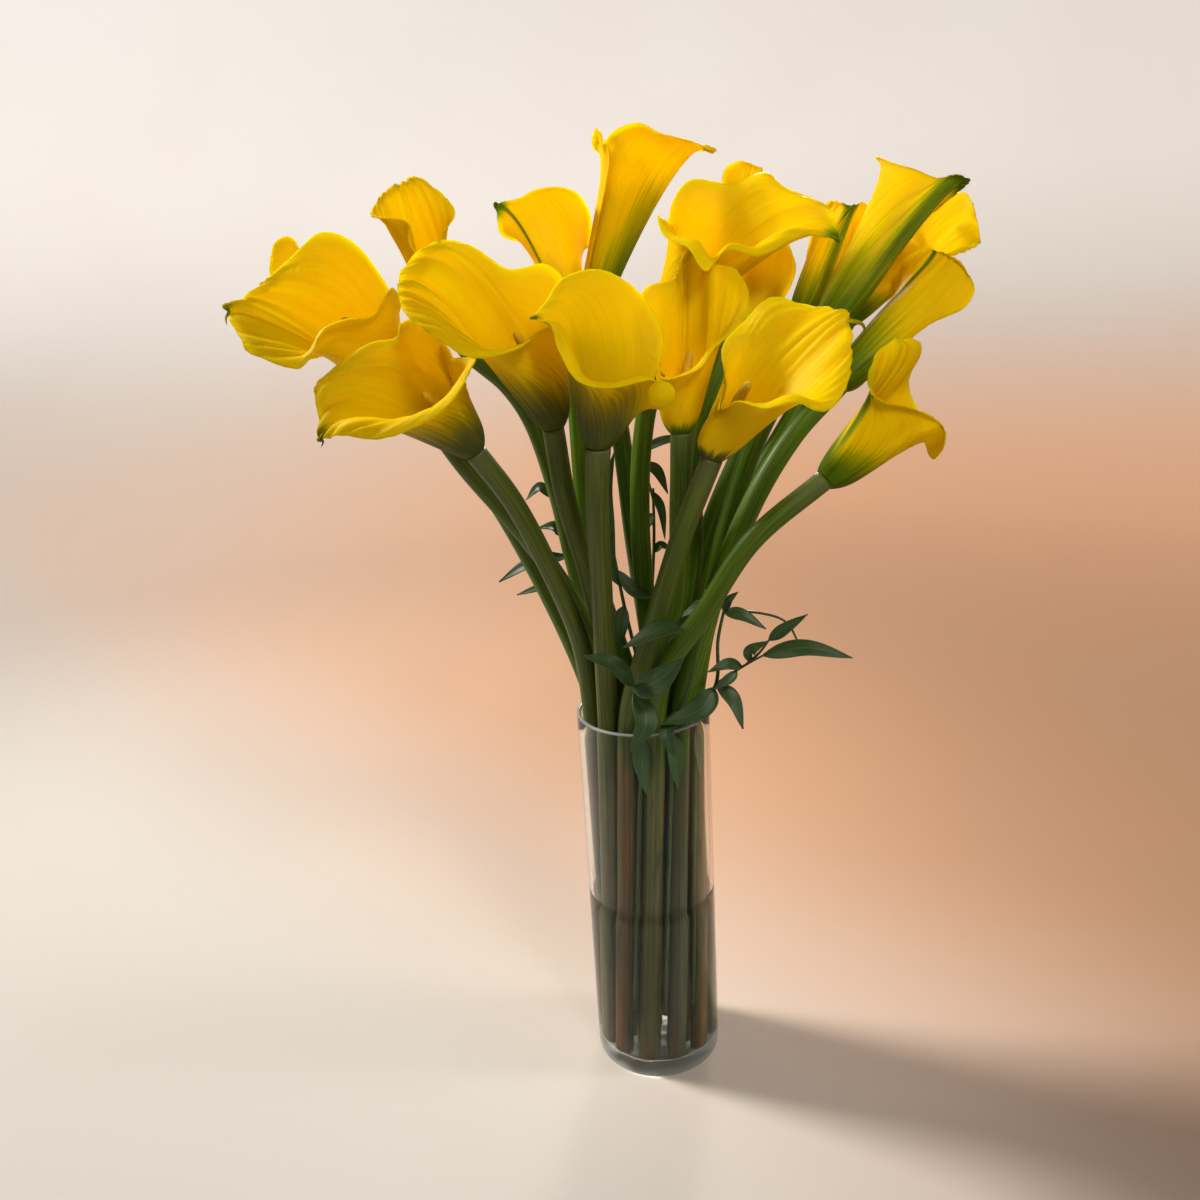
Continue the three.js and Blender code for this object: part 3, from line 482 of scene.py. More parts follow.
def tube(centres, ways, radii, sides, side=(1, 0, 0)):
    """Rings of points round a line of centres. A radius may differ round its ring."""
    turn = np.linspace(0, 2 * pi, sides, endpoint=False)[None, :, None]
    side = np.asarray(side, float)
    across = unit(side - ways * (ways @ side)[:, None])
    other = np.cross(ways, across)
    ring = across[:, None] * np.cos(turn) + other[:, None] * np.sin(turn)
    return centres[:, None] + ring * np.asarray(radii).reshape(len(centres), -1)[:, :, None]


def placed(name, data):
    """An object that shows the data, linked to the scene."""
    item = bpy.data.objects.new(name, data)
    scene.collection.objects.link(item)
    return item


def smooth_mesh(name, points, faces, material):
    mesh = bpy.data.meshes.new(name)
    mesh.from_pydata((points / METRE).tolist(), [], faces)
    mesh.polygons.foreach_set("use_smooth", [True] * len(mesh.polygons))
    mesh.materials.append(material)
    return mesh


class Shape:
    """Points, marks and faces of a piece, gathered from its parts."""

    def __init__(self):
        self.parts = []
        self.faces = []
        self.count = 0

    def add(self, faces, *values):
        """Take a part's faces, and the place and both sets of marks of its points."""
        self.faces += [[k + self.count for k in face] for face in faces]
        self.parts.append([value.reshape(-1, 3) for value in values])
        self.count += len(self.parts[-1][0])

    def add_tube(self, rings, lie, tint):
        """A tube of rings, closed at each end by a fan to a middle point."""
        rows, sides = rings.shape[:2]
        faces = wrapped_faces(rows, sides)
        low = rows * sides
        last = low - sides
        for k in range(sides):
            after = (k + 1) % sides
            faces.append([after, k, low])
            faces.append([last + k, last + after, low + 1])
        sets = [marks(rows, sides, *mark).reshape(-1, 3) for mark in (lie, tint)]
        points = np.vstack([rings.reshape(-1, 3), rings[0].mean(0), rings[-1].mean(0)])
        self.add(faces, points, *(np.vstack([grid, grid[0], grid[-1]]) for grid in sets))

    def add_sheet(self, grid, thickness, lie, front, back):
        """A closed sheet from a grid of points. The third mark of where it lies is its side."""
        rows, columns = grid.shape[:2]
        normals = unit(np.cross(np.gradient(grid, axis=0), np.gradient(grid, axis=1)))
        half = normals * thickness / 2
        size = rows * columns
        faces = []
        for i in range(rows - 1):
            for j in range(columns - 1):
                a = i * columns + j
                b, c, d = a + columns, a + columns + 1, a + 1
                faces.append([a, b, c, d])
                faces.append([a + size, d + size, c + size, b + size])
        edge = [*range(columns - 1), *range(columns - 1, size - 1, columns)]
        edge += [*range(size - 1, size - columns, -1), *range(size - columns, 0, -columns)]
        for a, b in zip(edge, edge[1:] + edge[:1]):
            faces.append([a, b, b + size, a + size])
        lies = np.stack([marks(rows, columns, *lie, side) for side in (1, -1)])
        tints = np.stack([marks(rows, columns, *tint) for tint in (front, back)])
        self.add(faces, np.stack([grid + half, grid - half]), lies, tints)

    def piece(self, name, material, slot, nodes):
        """Make the object of the shape: it rides on the root and replaces CAD nodes."""
        points, *sets = (np.vstack(values) for values in zip(*self.parts))
        mesh = smooth_mesh(name, points, self.faces, material)
        for mark, values in zip(("lie", "tint"), sets):
            attribute = mesh.attributes.new(mark, "FLOAT_VECTOR", "POINT")
            attribute.data.foreach_set("vector", values.astype(np.float32).ravel())
        piece = placed(name, mesh)
        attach(piece, "root")
        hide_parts(*nodes)


def wrapped_faces(rows, sides):
    faces = []
    for i in range(rows - 1):
        for k in range(sides):
            a = i * sides + k
            b = i * sides + (k + 1) % sides
            faces.append([a, b, b + sides, a + sides])
    return faces


def marks(rows, columns, first, second, third=0.0):
    """A grid of three marks a point; each is one number or a grid of them."""
    grids = [np.broadcast_to(value, (rows, columns)) for value in (first, second, third)]
    return np.stack(grids, axis=2).astype(float)


def rim_at(bloom, v):
    """The rim's points and flare at v, its mean point and its tip."""
    rim = [*bloom["rim"], bloom["rim"][0]]
    points = np.array(laid_out(rim))
    apex = bloom["apex"]
    outer = curve_at(points[: apex + 1], v / TIP)
    inner = curve_at(points[apex:], v / TIP - 1)
    knots = [*np.linspace(0, TIP, apex + 1), *np.linspace(TIP, 1, len(rim) - apex)[1:]]
    flare = np.interp(v, knots, [entry[3] / 100 for entry in rim])
    return np.where((v <= TIP)[:, None], outer, inner), flare, points[:-1].mean(0), points[apex]


def spathe_form(bloom, v):
    """The four Bezier points of a spathe's lines at v, and which way round v runs."""
    neck, along = neck_of(bloom)
    edge, flare, middle, tip = rim_at(bloom, v)
    axis = unit(middle - neck)
    across = unit(np.cross([0, 0, 1], axis))
    other = np.cross(axis, across)
    aside = edge - neck
    reach = aside @ axis
    aside = aside - reach[:, None] * axis
    angle = np.unwrap(np.arctan2(aside @ other, aside @ across))
    sense = np.sign(angle[-1] - angle[0])
    tip_angle = atan2((tip - neck) @ other, (tip - neck) @ across)
    turn = tip_angle + sense * (v - TIP) * 2 * pi
    out = np.cos(turn)[:, None] * across + np.sin(turn)[:, None] * other
    lean = Vector(axis).rotation_difference(Vector(along)).to_matrix()
    out = out @ np.array(lean).T
    start = neck + along * GAP
    width = np.maximum(SPATHE["throat"] * np.linalg.norm(aside, axis=1), SPATHE["narrowest"])
    bell = start + axis * (reach * flare)[:, None] + unit(aside) * width[:, None]
    base = start + out * SPATHE["base_radius"]
    swell = start + along * SPATHE["tube_rise"] + out * bloom["tube"]
    return [base, swell, softened(bell, 2), edge], sense


def softened(values, reach):
    """Values of a closed run, each averaged with its neighbours."""
    shifts = range(-3 * reach, 3 * reach + 1)
    weights = np.exp(-((np.array(shifts) / reach) ** 2))
    weights /= weights.sum()
    return sum(weight * np.roll(values, -shift, axis=0) for shift, weight in zip(shifts, weights))


def spathe_relief(bloom, v, u, seed):
    """How far a spathe's relief stands out, and its folds alone. Veins run on to the tip."""
    across = (v - TIP) / (1 - NARROWING * np.clip(u, 0, 1) ** 2)
    crooked = across / FOLD_WIDTH + 0.7 * wander(across / 3, 26, seed)
    folds = RELIEF["crease"] - RELIEF["folds"] * np.abs(np.sin(pi * crooked))
    folds = folds * bloom["folds"] * smooth(0.35, 0.95, u) * peak(v, TIP, 0.2)
    lift = RELIEF["lift"] * (0.45 + 0.55 * smooth(0, 0.3, u)) * (1 - smooth(0, 0.14, v))
    ribs = RELIEF["ribs"] * np.sin(2 * pi * RIB_COUNT * across) * smooth(0.15, 0.9, u)
    ruffle = RELIEF["ruffle"] * wander(v, 11, seed + 1) * smooth(0.55, 1, u)
    midrib = RELIEF["midrib"] * peak(v, TIP, 0.008) * (1 - 0.6 * u)
    curl = RELIEF["curl"] * smooth(0.9, 1, u) * (1 - peak(v, TIP, 0.03))
    return lift + folds + ribs + ruffle + midrib + curl, folds


def spathe_grid(bloom, seed):
    """Points, v, u, folds and side of a spathe, from its base row to its rim."""
    columns = SPATHE["columns"]
    lines, sense = spathe_form(bloom, np.arange(columns) / columns)
    order = np.arange(-round(columns * SPATHE["lap"]), columns + 1)
    v = order / columns
    u = down(SPATHE["rows"]) ** 0.92
    lap_depth = np.clip(-v / SPATHE["lap"], 0, 1)
    at = (u * (1 - (1 - SPATHE["lap_reach"]) * lap_depth**2))[:, :, None]
    weights = ((1 - at) ** 3, 3 * at * (1 - at) ** 2, 3 * at**2 * (1 - at), at**3)
    grid = sum(weight * line[order % columns] for weight, line in zip(weights, lines))
    outward = sense * unit(np.cross(np.gradient(grid, axis=1), np.gradient(grid, axis=0)))
    relief, folds = spathe_relief(bloom, v, u, seed)
    grid = grid + outward * relief[:, :, None]
    return grid, v, u, folds, sense


def spathe_green_and_painted_light(bloom, v, u, folds, seed):
    """Green, with painted highlights on rim, margin and fold ridges and painted shade in fold hollows and
    the throat, on a spathe's outside and its inside.
    """
    streak = 0.03 * wander(v, 61, seed + 2) + 0.03 * wander(v, 23, seed + 3)
    leaning = bloom["lean"] * (1 - peak(v, TIP, 0.25))
    base = 1 - smooth(0, bloom["base"] * 1.5 + 0.05, u + streak + leaning)
    rib_width = bloom["rib_width"] * (1 - 0.3 * smooth(0.3, 1, u))
    midrib = peak(v, bloom["rib_at"], rib_width) * (0.6 + 0.4 * smooth(0.2, 0.9, u))
    tip = bloom["tip"] * peak(v, TIP, bloom["tip_width"]) * smooth(0.84, 1, u)
    margin = 1 - smooth(-SPATHE["lap"], -SPATHE["lap"] * 0.85, v)
    rim = np.maximum(smooth(0.9, 1, u), margin)
    throat = 1 - smooth(0.1, 0.75, u)
    raised, sunk = smooth(0.1, 1.2, folds), smooth(0.1, 1.2, -folds)
    green = np.clip(np.maximum(base, bloom["midrib"] * midrib) + tip, 0, 1)
    within = np.clip(0.5 * base * (1 - smooth(0, 0.3, u)) + tip, 0, 1)
    # Second mark: painted highlight on the rim, the lapped margin and the raised folds. Third: painted
    # shade in the sunk folds and, inside, down the throat.
    outside = (green, np.maximum(rim, raised), 0.8 * sunk)
    inside = (within, np.maximum(rim, sunk), np.maximum(throat, raised))
    return outside, inside


def add_tail(shape, tip, line, start, end, green):
    """The narrow tail that the tip of a spathe runs out into, rounded at its end."""
    rows, sides = 20, 12
    at = down(rows)
    centres = curve_at([*tip, *laid_out(line)], at[:, 0])
    radii = np.interp(at, [0, 0.35, 1], [0.25, start, end]) * np.sqrt(1 - 0.9 * smooth(0.85, 1, at))
    rings = tube(centres, tangents(centres), radii, sides)
    lie = (TIP + 0.01 * around(sides), 0.9 + 0.1 * at, 1)
    # The tail carries half a ridge's painted highlight.
    shape.add_tube(rings, lie, (green * smooth(0, 0.5, at), 0.5))


def add_scroll(shape, middle, radius):
    """A corner of the rim rolled up into a ball, its loose edge turned in behind."""
    rows, columns = 40, 17
    turn = 2 * pi * down(rows)
    place = np.linspace(-0.97, 0.97, columns)[None]
    girth = np.sqrt(1 - place**2) * (1 - 0.07 * turn)
    right, up, ahead = view_axes()
    shares = (place + 0 * turn, np.cos(turn) * girth, -np.sin(turn) * girth)
    ball = sum(share[:, :, None] * way for share, way in zip(shares, (right, up, ahead)))
    lie = (0.1 + 0.05 * place, 0.8 + 0.03 * turn)
    # The ball carries the full painted highlight of a ridge all over.
    shape.add_sheet(on_picture(middle) + radius * ball, 0.6, lie, (0, 1), (0, 1))


def add_spathe(bloom, material, seed):
    grid, v, u, folds, sense = spathe_grid(bloom, seed)
    thinning = SPATHE["base_thickness"] - SPATHE["rim_thickness"]
    thickness = SPATHE["rim_thickness"] + thinning * (1 - smooth(0, 1, u))
    outside, inside = spathe_green_and_painted_light(bloom, v, u, folds, seed)
    shape = Shape()
    tints = (inside, outside) if sense > 0 else (outside, inside)
    shape.add_sheet(grid, thickness[:, :, None], (v, u), *tints)
    if "tail" in bloom:
        middle = np.abs(v - TIP).argmin()
        add_tail(shape, grid[[-4, -1], middle], *bloom["tail"], bloom["tip"])
    if "scroll" in bloom:
        add_scroll(shape, *bloom["scroll"])
    name = bloom["name"]
    shape.piece(f"bloom_{name}", material, "spathe", [f"spathe_{name}"])


def add_stem(bloom, material, seed):
    centres, share = stem_line(bloom["stands"], bloom["bends"])
    top = STEM["neck_radius"] + bloom["girth"]
    radii = STEM["vase_radius"] + (top - STEM["vase_radius"]) * share
    ways = tangents(centres)
    neck, along = neck_of(bloom)
    foot = centres[0]
    low = [foot, foot + ways[0] * 0.35, foot + ways[0] * 0.9]
    high = [neck + along * rise for rise in (0.12, PLUG["height"] - 0.8, PLUG["height"])]
    plug = [PLUG["radius"], PLUG["radius"], PLUG["radius"] - 0.7]
    centres = np.vstack([low, centres[1:], high])
    ways = np.vstack([[[0, 0, 1]] * 3, ways[1:], [along] * 3])
    radii = np.concatenate([radii[0] - [1, 0.4, 0.05], radii[1:], plug])
    sides = STEM["sides"]
    turn, height = around(sides), down(len(centres))
    swell = 1 + 0.025 * np.sin(2 * pi * (2 * turn + height)) + 0.012 * wander(turn, 7, seed)
    swell = swell * (1 + 0.02 * wander(height / 1.3, 9, seed + 5))
    rings = tube(centres, ways, radii[:, None] * swell, sides)
    rust = bloom.get("rust", np.random.default_rng(seed).uniform(0, 1))
    tint = (bloom["olive"], rust, smooth(0.86, 0.97, height))
    shape = Shape()
    shape.add_tube(rings, (turn, height * 7, seed * 0.137 % 1), tint)
    name = bloom["name"]
    shape.piece(f"stalk_{name}", material, "stem", [f"stem_{name}"])


def add_spadix(bloom, material):
    """A finger of close florets. It ends at its own point, or aims at the rim's middle."""
    neck, along = neck_of(bloom)
    foot = neck + along * (PLUG["height"] + GAP)
    if "spadix" in bloom:
        aim = on_picture(bloom["spadix"])
        reach = np.linalg.norm(aim - foot)
    else:
        aim = np.mean(laid_out(bloom["rim"]), axis=0)
        reach = SPADIX["length"]
    top = foot + unit(aim - foot) * reach
    bend = foot + along * reach / 2
    at, turn = down(SPADIX["rings"]), around(SPADIX["sides"])
    centres = (1 - at) ** 2 * foot + 2 * at * (1 - at) * bend + at**2 * top
    girth = np.interp(at, [0, 0.33, 0.66, 0.9, 1], [0.82, 1, 0.95, 0.74, 0.6])
    cap = np.sqrt(np.clip(1 - smooth(0.93, 1.0, at) ** 2, 0.02, 1))
    climb = reach / SPADIX["length"] * SPADIX["turns"] * at
    spirals = [np.sin(pi * (SPADIX["florets"] * turn + way * climb)) for way in (1, -1)]
    grain = np.abs(spirals[0] * spirals[1])
    radii = SPADIX["radius"] * (girth * cap) * (0.93 + 0.12 * grain)
    shape = Shape()
    shape.add_tube(tube(centres, tangents(centres), radii, SPADIX["sides"]), (turn, at), (grain, at))
    name = bloom["name"]
    shape.piece(f"finger_{name}", material, "spadix", [f"spadix_{name}"])


def root_on(lines, place):
    """The point nearest to a place on any of some lines of points."""
    found = []
    for line in lines:
        start, step = line[:-1], np.diff(line, axis=0)
        share = np.clip(((place - start) * step).sum(1) / (step**2).sum(1), 0, 1)
        found.append(start + step * share[:, None])
    found = np.vstack(found)
    return found[np.linalg.norm(found - place, axis=1).argmin()]


def leaf_grid(points, width, turn, seed):
    """A pointed leaf along its root, middle and tip, folded and waved a little."""
    at = down(LEAF["rows"])
    place = np.linspace(-1, 1, LEAF["columns"])
    centres = curve_at(points, at[:, 0])
    ways = tangents(centres)
    across = unit(np.cross(ways, [0, -0.75, 0.66]))
    lean = radians(turn)
    across, face = (
        way * cos(lean) + np.cross(ways, way) * sin(lean)
        for way in (across, np.cross(across, ways))
    )
    half = width / 2 * np.sin(pi * np.clip(at, 0.012, 0.993) ** 0.75) ** 0.9
    fold = half * (np.sqrt(place**2 + 0.02) - 0.14) * LEAF["fold"]
    wave = 0.035 * width * place**2 * np.sin(at * 9 + seed) * np.sign(place)
    midrib = -0.18 * peak(place, 0, 0.12) * (1 - at)
    sideways, rise = (half * place)[:, :, None], (fold + wave + midrib)[:, :, None]
    grid = centres[:, None] + across[:, None] * sideways + face[:, None] * rise
    return grid, (place, at)


def add_twig(shape, centres, radii, side):
    rings = tube(centres, tangents(centres), radii, SPRAY["sides"], side)
    shape.add_tube(rings, (around(SPRAY["sides"]), down(len(centres))), (1, 0))


def add_spray(name, form, material, seed):
    shape = Shape()
    centres, share = stem_line(form["stands"], form["bends"], SPRAY["foot_height"], SPRAY["rings"])
    thinning = SPRAY["stem_radius"] - SPRAY["twig_radius"]
    add_twig(shape, centres, SPRAY["stem_radius"] - thinning * share, (1, 0, 0))
    lines = [centres]
    for twig in form.get("twigs", []):
        points = laid_out(twig)
        points[0] = root_on(lines, points[0])
        at = np.linspace(0, 1, 8 * len(points))
        line = curve_at(points, at)
        add_twig(shape, line, SPRAY["twig_radius"] * (1 - at / 3), (0, 1, 0))
        lines.append(line)
    rng = np.random.default_rng(seed)
    for base, middle, tip, width, turned in form["leaves"]:
        points = [root_on(lines, on_picture(base)), *laid_out([middle, tip])]
        grid, lie = leaf_grid(points, width, turned, rng.uniform(0, 6))
        tint = (0, rng.uniform(0, 1))
        shape.add_sheet(grid, LEAF["thickness"], lie, tint, tint)
    shape.piece(f"leaves_{name}", material, "foliage", [f"ruscus_{name}"])


def lathe(profile, sides):
    """Rings of points turned round the upright axis, one for each (radius, height)."""
    turn = np.linspace(0, 2 * pi, sides, endpoint=False)
    radii, heights = np.array(profile, float).T[:, :, None]
    return np.stack([radii * np.cos(turn), radii * np.sin(turn), heights + 0 * turn], axis=2)


def arc(centre, radius, start, end, steps):
    """Points of a round in a profile, its angles in degrees from outwards to upwards."""
    angles = [radians(start + (end - start) * k / steps) for k in range(steps + 1)]
    return [(centre[0] + radius * cos(a), centre[1] + radius * sin(a)) for a in angles]


def upright(low, high, radius, steps):
    return [(radius, low + (high - low) * k / steps) for k in range(1, steps)]


def add_turned(name, profile, material, slot, node):
    shape = Shape()
    shape.add_tube(lathe(profile, TURNED_SIDES), (0, 0), (0, 0))
    shape.piece(name, material, slot, [node])


def add_vase(material):
    """A blown cylinder: a rounded lip, a thin wall and a thick foot, hollowed beneath."""
    outer, height, floor = VASE["radius"], VASE["height"], VASE["floor"]
    inner = outer - VASE["wall"]
    lip, foot, corner = VASE["wall"] / 2, VASE["foot_round"], VASE["corner"]
    profile = [(1, 1.1), (20, 1.05), (36, 0.8)]
    profile += arc((45.5, 0.75), 0.75, 225, 270, 3)
    profile += arc((outer - foot, foot), foot, -90, 0, 10)
    profile += upright(foot, height - lip, outer, 24)
    profile += arc((outer - lip, height - lip), lip, 0, 180, 12)
    profile += upright(height - lip, floor + corner, inner, 24)
    profile += arc((inner - corner, floor + corner), corner, 0, -90, 8)
    profile += [(30, floor - 0.1), (1, floor - 0.2)]
    add_turned("cylinder", profile, material, "glass", "vase")


def add_water(material):
    """Water that wets the glass and climbs it a little at its edge."""
    wet = VASE["radius"] - VASE["wall"] + 0.05
    floor, level, climb = VASE["floor"], WATER["level"], WATER["climb"]
    corner = floor + WATER["corner_height"]
    profile = [(1, floor - 0.25), (30, floor - 0.15)]
    profile += arc((wet - VASE["corner"], corner), VASE["corner"], -90, 0, 8)
    profile += upright(corner, level + climb, wet, 12)
    for rise in (climb, 1.2, 0.7, 0.35, 0.12, 0):
        profile.append((wet - WATER["climb_width"] * (1 - (rise / climb) ** 0.5), level + rise))
    profile += [(30, level), (1, level)]
    add_turned("fill", profile, material, "water", "water")


class Paint:
    """A material's nodes, with short ways of adding and joining them."""

    def __init__(self, name):
        self.material = bpy.data.materials.new(name)
        self.material.use_nodes = True
        self.tree = self.material.node_tree
        self.tree.nodes.clear()

    def add(self, kind, inputs=None, **settings):
        node = self.tree.nodes.new("ShaderNode" + kind)
        for key, value in settings.items():
            setattr(node, key, value)
        for key, value in (inputs or {}).items():
            self.put(node.inputs[key], value)
        return node

    def put(self, socket, value):
        """Feed an input from a socket, a number or a colour of three numbers."""
        if isinstance(value, bpy.types.NodeSocket):
            self.tree.links.new(value, socket)
        else:
            socket.default_value = (*value, 1) if isinstance(value, tuple) else value

    def marks(self, name):
        """The three numbers that each point of the mesh carries under a name."""
        attribute = self.add("Attribute", attribute_name=name)
        return self.parts(attribute.outputs["Vector"])

    def parts(self, vector):
        return self.add("SeparateXYZ", {"Vector": vector}).outputs

    def place(self):
        """Where a point is in the object, and its height, in metres."""
        place = self.add("TexCoord").outputs["Object"]
        return place, self.parts(place)["Z"]

    def math(self, operation, first, second=0.0):
        return self.add("Math", {0: first, 1: second}, operation=operation).outputs[0]

    def times(self, first, second):
        return self.math("MULTIPLY", first, second)

    def plus(self, first, second):
        return self.math("ADD", first, second)

    def share(self, value, low, high, start=0.0, end=1.0):
        """A value's place between low and high, as a soft step from start to end."""
        inputs = {"Value": value, "From Min": low, "From Max": high, "To Min": start, "To Max": end}
        return self.add("MapRange", inputs, interpolation_type="SMOOTHSTEP").outputs["Result"]

    def mix(self, share, first, second):
        return self.add("Mix", {0: share, 6: first, 7: second}, data_type="RGBA").outputs[2]

    def noise(self, vector, scale, detail=3.0, roughness=0.5):
        inputs = {"Vector": vector, "Scale": scale, "Detail": detail, "Roughness": roughness}
        return self.add("TexNoise", inputs).outputs["Fac"]

    def stretched(self, parts, scales):
        """A vector of three marks, each by its own scale, for grain that runs one way."""
        scaled = [self.times(part, scale) for part, scale in zip(parts, scales)]
        return self.add("CombineXYZ", dict(zip("XYZ", scaled))).outputs[0]

    def bump(self, height, strength, depth):
        inputs = {"Height": height, "Strength": strength, "Distance": depth}
        return self.add("Bump", inputs).outputs["Normal"]

    def surface(self, colour, roughness, more):
        return self.add("BsdfPrincipled", {"Base Color": colour, "Roughness": roughness, **more}).outputs[0]

    def glow(self, colour):
        return self.add("BsdfTranslucent", {"Color": colour}).outputs[0]

    def both(self, share, first, second):
        return self.add("MixShader", {0: share, 1: first, 2: second}).outputs[0]

    def finish(self, shader):
        self.add("OutputMaterial", {"Surface": shader})
        return self.material


def spathe_material(name, turned, leafy, streak):
    """Satin yellow petal skin: fine veins, greener at foot, rib and tip, glowing through; painted shade in
    hollows and throat, painted highlight on ridges and rim.
    """
    paint = Paint(name)
    v, u, side = paint.marks("lie")
    green, ridge_highlight, hollow_shade = paint.marks("tint")
    narrowing = paint.plus(paint.times(paint.times(u, u), -NARROWING), 1)
    across = paint.math("DIVIDE", paint.math("SUBTRACT", v, TIP), narrowing)
    fibres = paint.noise(paint.stretched((across, u, side), (64, 2.2, 3)), 1, 2, 0.6)
    veins = paint.noise(paint.stretched((across, u, side), (190, 3, 3)), 1, 1)
    yellow = paint.mix(paint.share(fibres, 0.4, 0.75, 0, 0.7), (0.98, 0.73, 0), (0.9, 0.55, 0))
    # Painted shade: hollows and throat darker and more orange. Painted highlight: ridges and rim paler
    # yellow.
    yellow = paint.mix(paint.times(hollow_shade, 0.75), yellow, (0.85, 0.45, 0))
    yellow = paint.mix(paint.times(ridge_highlight, 0.7), yellow, (1, 0.85, 0))
    mottled = paint.plus(green, paint.share(fibres, 0.3, 0.7, -0.09, 0.09))
    amount = paint.times(paint.share(mottled, 0, 1), paint.share(green, 0.01, 0.15))
    turning = paint.mix(paint.share(amount, 0.0, 0.45), yellow, turned)
    greens = paint.mix(paint.share(veins, 0.35, 0.65), leafy, streak)
    colour = paint.mix(paint.share(amount, 0.25, 0.95), turning, greens)
    grain = paint.plus(paint.times(fibres, 0.6), paint.times(veins, 0.4))
    more = {"Normal": paint.bump(grain, 0.45, 0.0007), "Specular IOR Level": 0.07}
    skin = paint.surface(colour, paint.share(fibres, 0.3, 0.7, 0.4, 0.58), more)
    # On ridges and rim the glow through is paler and stronger: painted highlight as well.
    lit = paint.mix(ridge_highlight, (1, 0.76, 0), (1, 0.89, 0))
    glow = paint.glow(paint.mix(amount, lit, (0.2, 0.3, 0)))
    return paint.finish(paint.both(paint.share(ridge_highlight, 0, 1, 0.36, 0.6), skin, glow))


def stem_material():
    """Waxy green stem with fine lengthwise streaks, browned where it stands in the vase."""
    paint = Paint("stem_skin")
    turn, length, seed = paint.marks("lie")
    olive, tone, near_neck = paint.marks("tint")
    fibres = paint.noise(paint.stretched((turn, length, seed), (30, 0.7, 40)), 1, 4, 0.6)
    bands = paint.noise(paint.stretched((turn, length, seed), (5, 1.5, 40)), 1, 4, 0.6)
    fresh = paint.mix(paint.share(fibres, 0.35, 0.7), (0.045, 0.1, 0.001), (0.1, 0.19, 0.003))
    greyed = paint.mix(paint.share(fibres, 0.35, 0.7), (0.06, 0.078, 0.008), (0.1, 0.125, 0.02))
    fresh = paint.mix(olive, fresh, greyed)
    fresh = paint.mix(paint.times(near_neck, 0.5), fresh, (0.12, 0.135, 0.055))
    place, height = paint.place()
    drab = paint.mix(paint.share(tone, 0.15, 0.4), (0.088, 0.085, 0.045), (0.125, 0.115, 0.036))
    drab = paint.mix(paint.share(tone, 0.5, 0.8), drab, (0.13, 0.068, 0.026))
    drab = paint.mix(paint.share(bands, 0.46, 0.34), drab, (0.02, 0.03, 0.028))
    low = paint.times(paint.share(height, 0.17, 0.03), paint.share(tone, 0.4, 0.95))
    rust = paint.plus(bands, paint.times(low, 0.22))
    drab = paint.mix(paint.share(rust, 0.56, 0.68), drab, (0.19, 0.065, 0.012))
    aged = paint.mix(paint.share(fibres, 0.3, 0.7, 0.25, 1.0), (0.03, 0.034, 0.012), drab)
    in_vase = paint.times(paint.share(height, 0.3, 0.25), 0.97)
    grain = paint.plus(fibres, paint.times(paint.noise(place, 900, 2), 0.25))
    more = {"Normal": paint.bump(grain, 0.5, 0.0006), "Specular IOR Level": 0.22}
    roughness = paint.share(bands, 0.3, 0.7, 0.36, 0.52)
    return paint.finish(paint.surface(paint.mix(in_vase, fresh, aged), roughness, more))


def spadix_material():
    """Orange finger, its close florets dusted with paler pollen; painted shade makes it darker orange
    between the florets.
    """
    paint = Paint("spadix_florets")
    floret, at, _ = paint.marks("tint")
    place, _ = paint.place()
    dust = paint.noise(place, 700, 3)
    # Painted shade: darker orange down between the florets.
    colour = paint.mix(floret, (0.55, 0.32, 0), (0.88, 0.58, 0.004))
    colour = paint.mix(paint.share(dust, 0.5, 0.75, 0, 0.6), colour, (0.95, 0.68, 0.04))
    colour = paint.mix(paint.share(at, 0.75, 1, 0, 0.35), colour, (0.5, 0.3, 0.01))
    roughness = paint.share(dust, 0.3, 0.7, 0.6, 0.85)
    return paint.finish(paint.surface(colour, roughness, {"Normal": paint.bump(dust, 0.5, 0.0005)}))


def leaf_material():
    """Leathery dark leaf with parallel veins, a paler midrib and a grey gloss."""
    paint = Paint("leaf_skin")
    place, at, side = paint.marks("lie")
    twig, tone, _ = paint.marks("tint")
    veins = paint.noise(paint.stretched((place, at, side), (11, 0.9, 2)), 1, 3)
    cloud = paint.noise(paint.place()[0], 60, 3)
    colour = paint.mix(tone, (0.022, 0.055, 0.014), (0.04, 0.085, 0.022))
    colour = paint.mix(paint.share(veins, 0.4, 0.72), colour, (0.06, 0.12, 0.035))
    colour = paint.mix(paint.share(cloud, 0.45, 0.75, 0, 0.35), colour, (0.08, 0.11, 0.06))
    midrib = paint.share(paint.math("ABSOLUTE", place), 0.09, 0.02, 0, 0.55)
    colour = paint.mix(midrib, colour, (0.1, 0.17, 0.05))
    colour = paint.mix(twig, colour, (0.05, 0.085, 0.022))
    more = {"Normal": paint.bump(veins, 0.4, 0.0004), "Specular IOR Level": 0.35}
    skin = paint.surface(colour, paint.share(cloud, 0.3, 0.7, 0.34, 0.5), more)
    return paint.finish(paint.both(0.16, skin, paint.glow((0.09, 0.2, 0.02))))


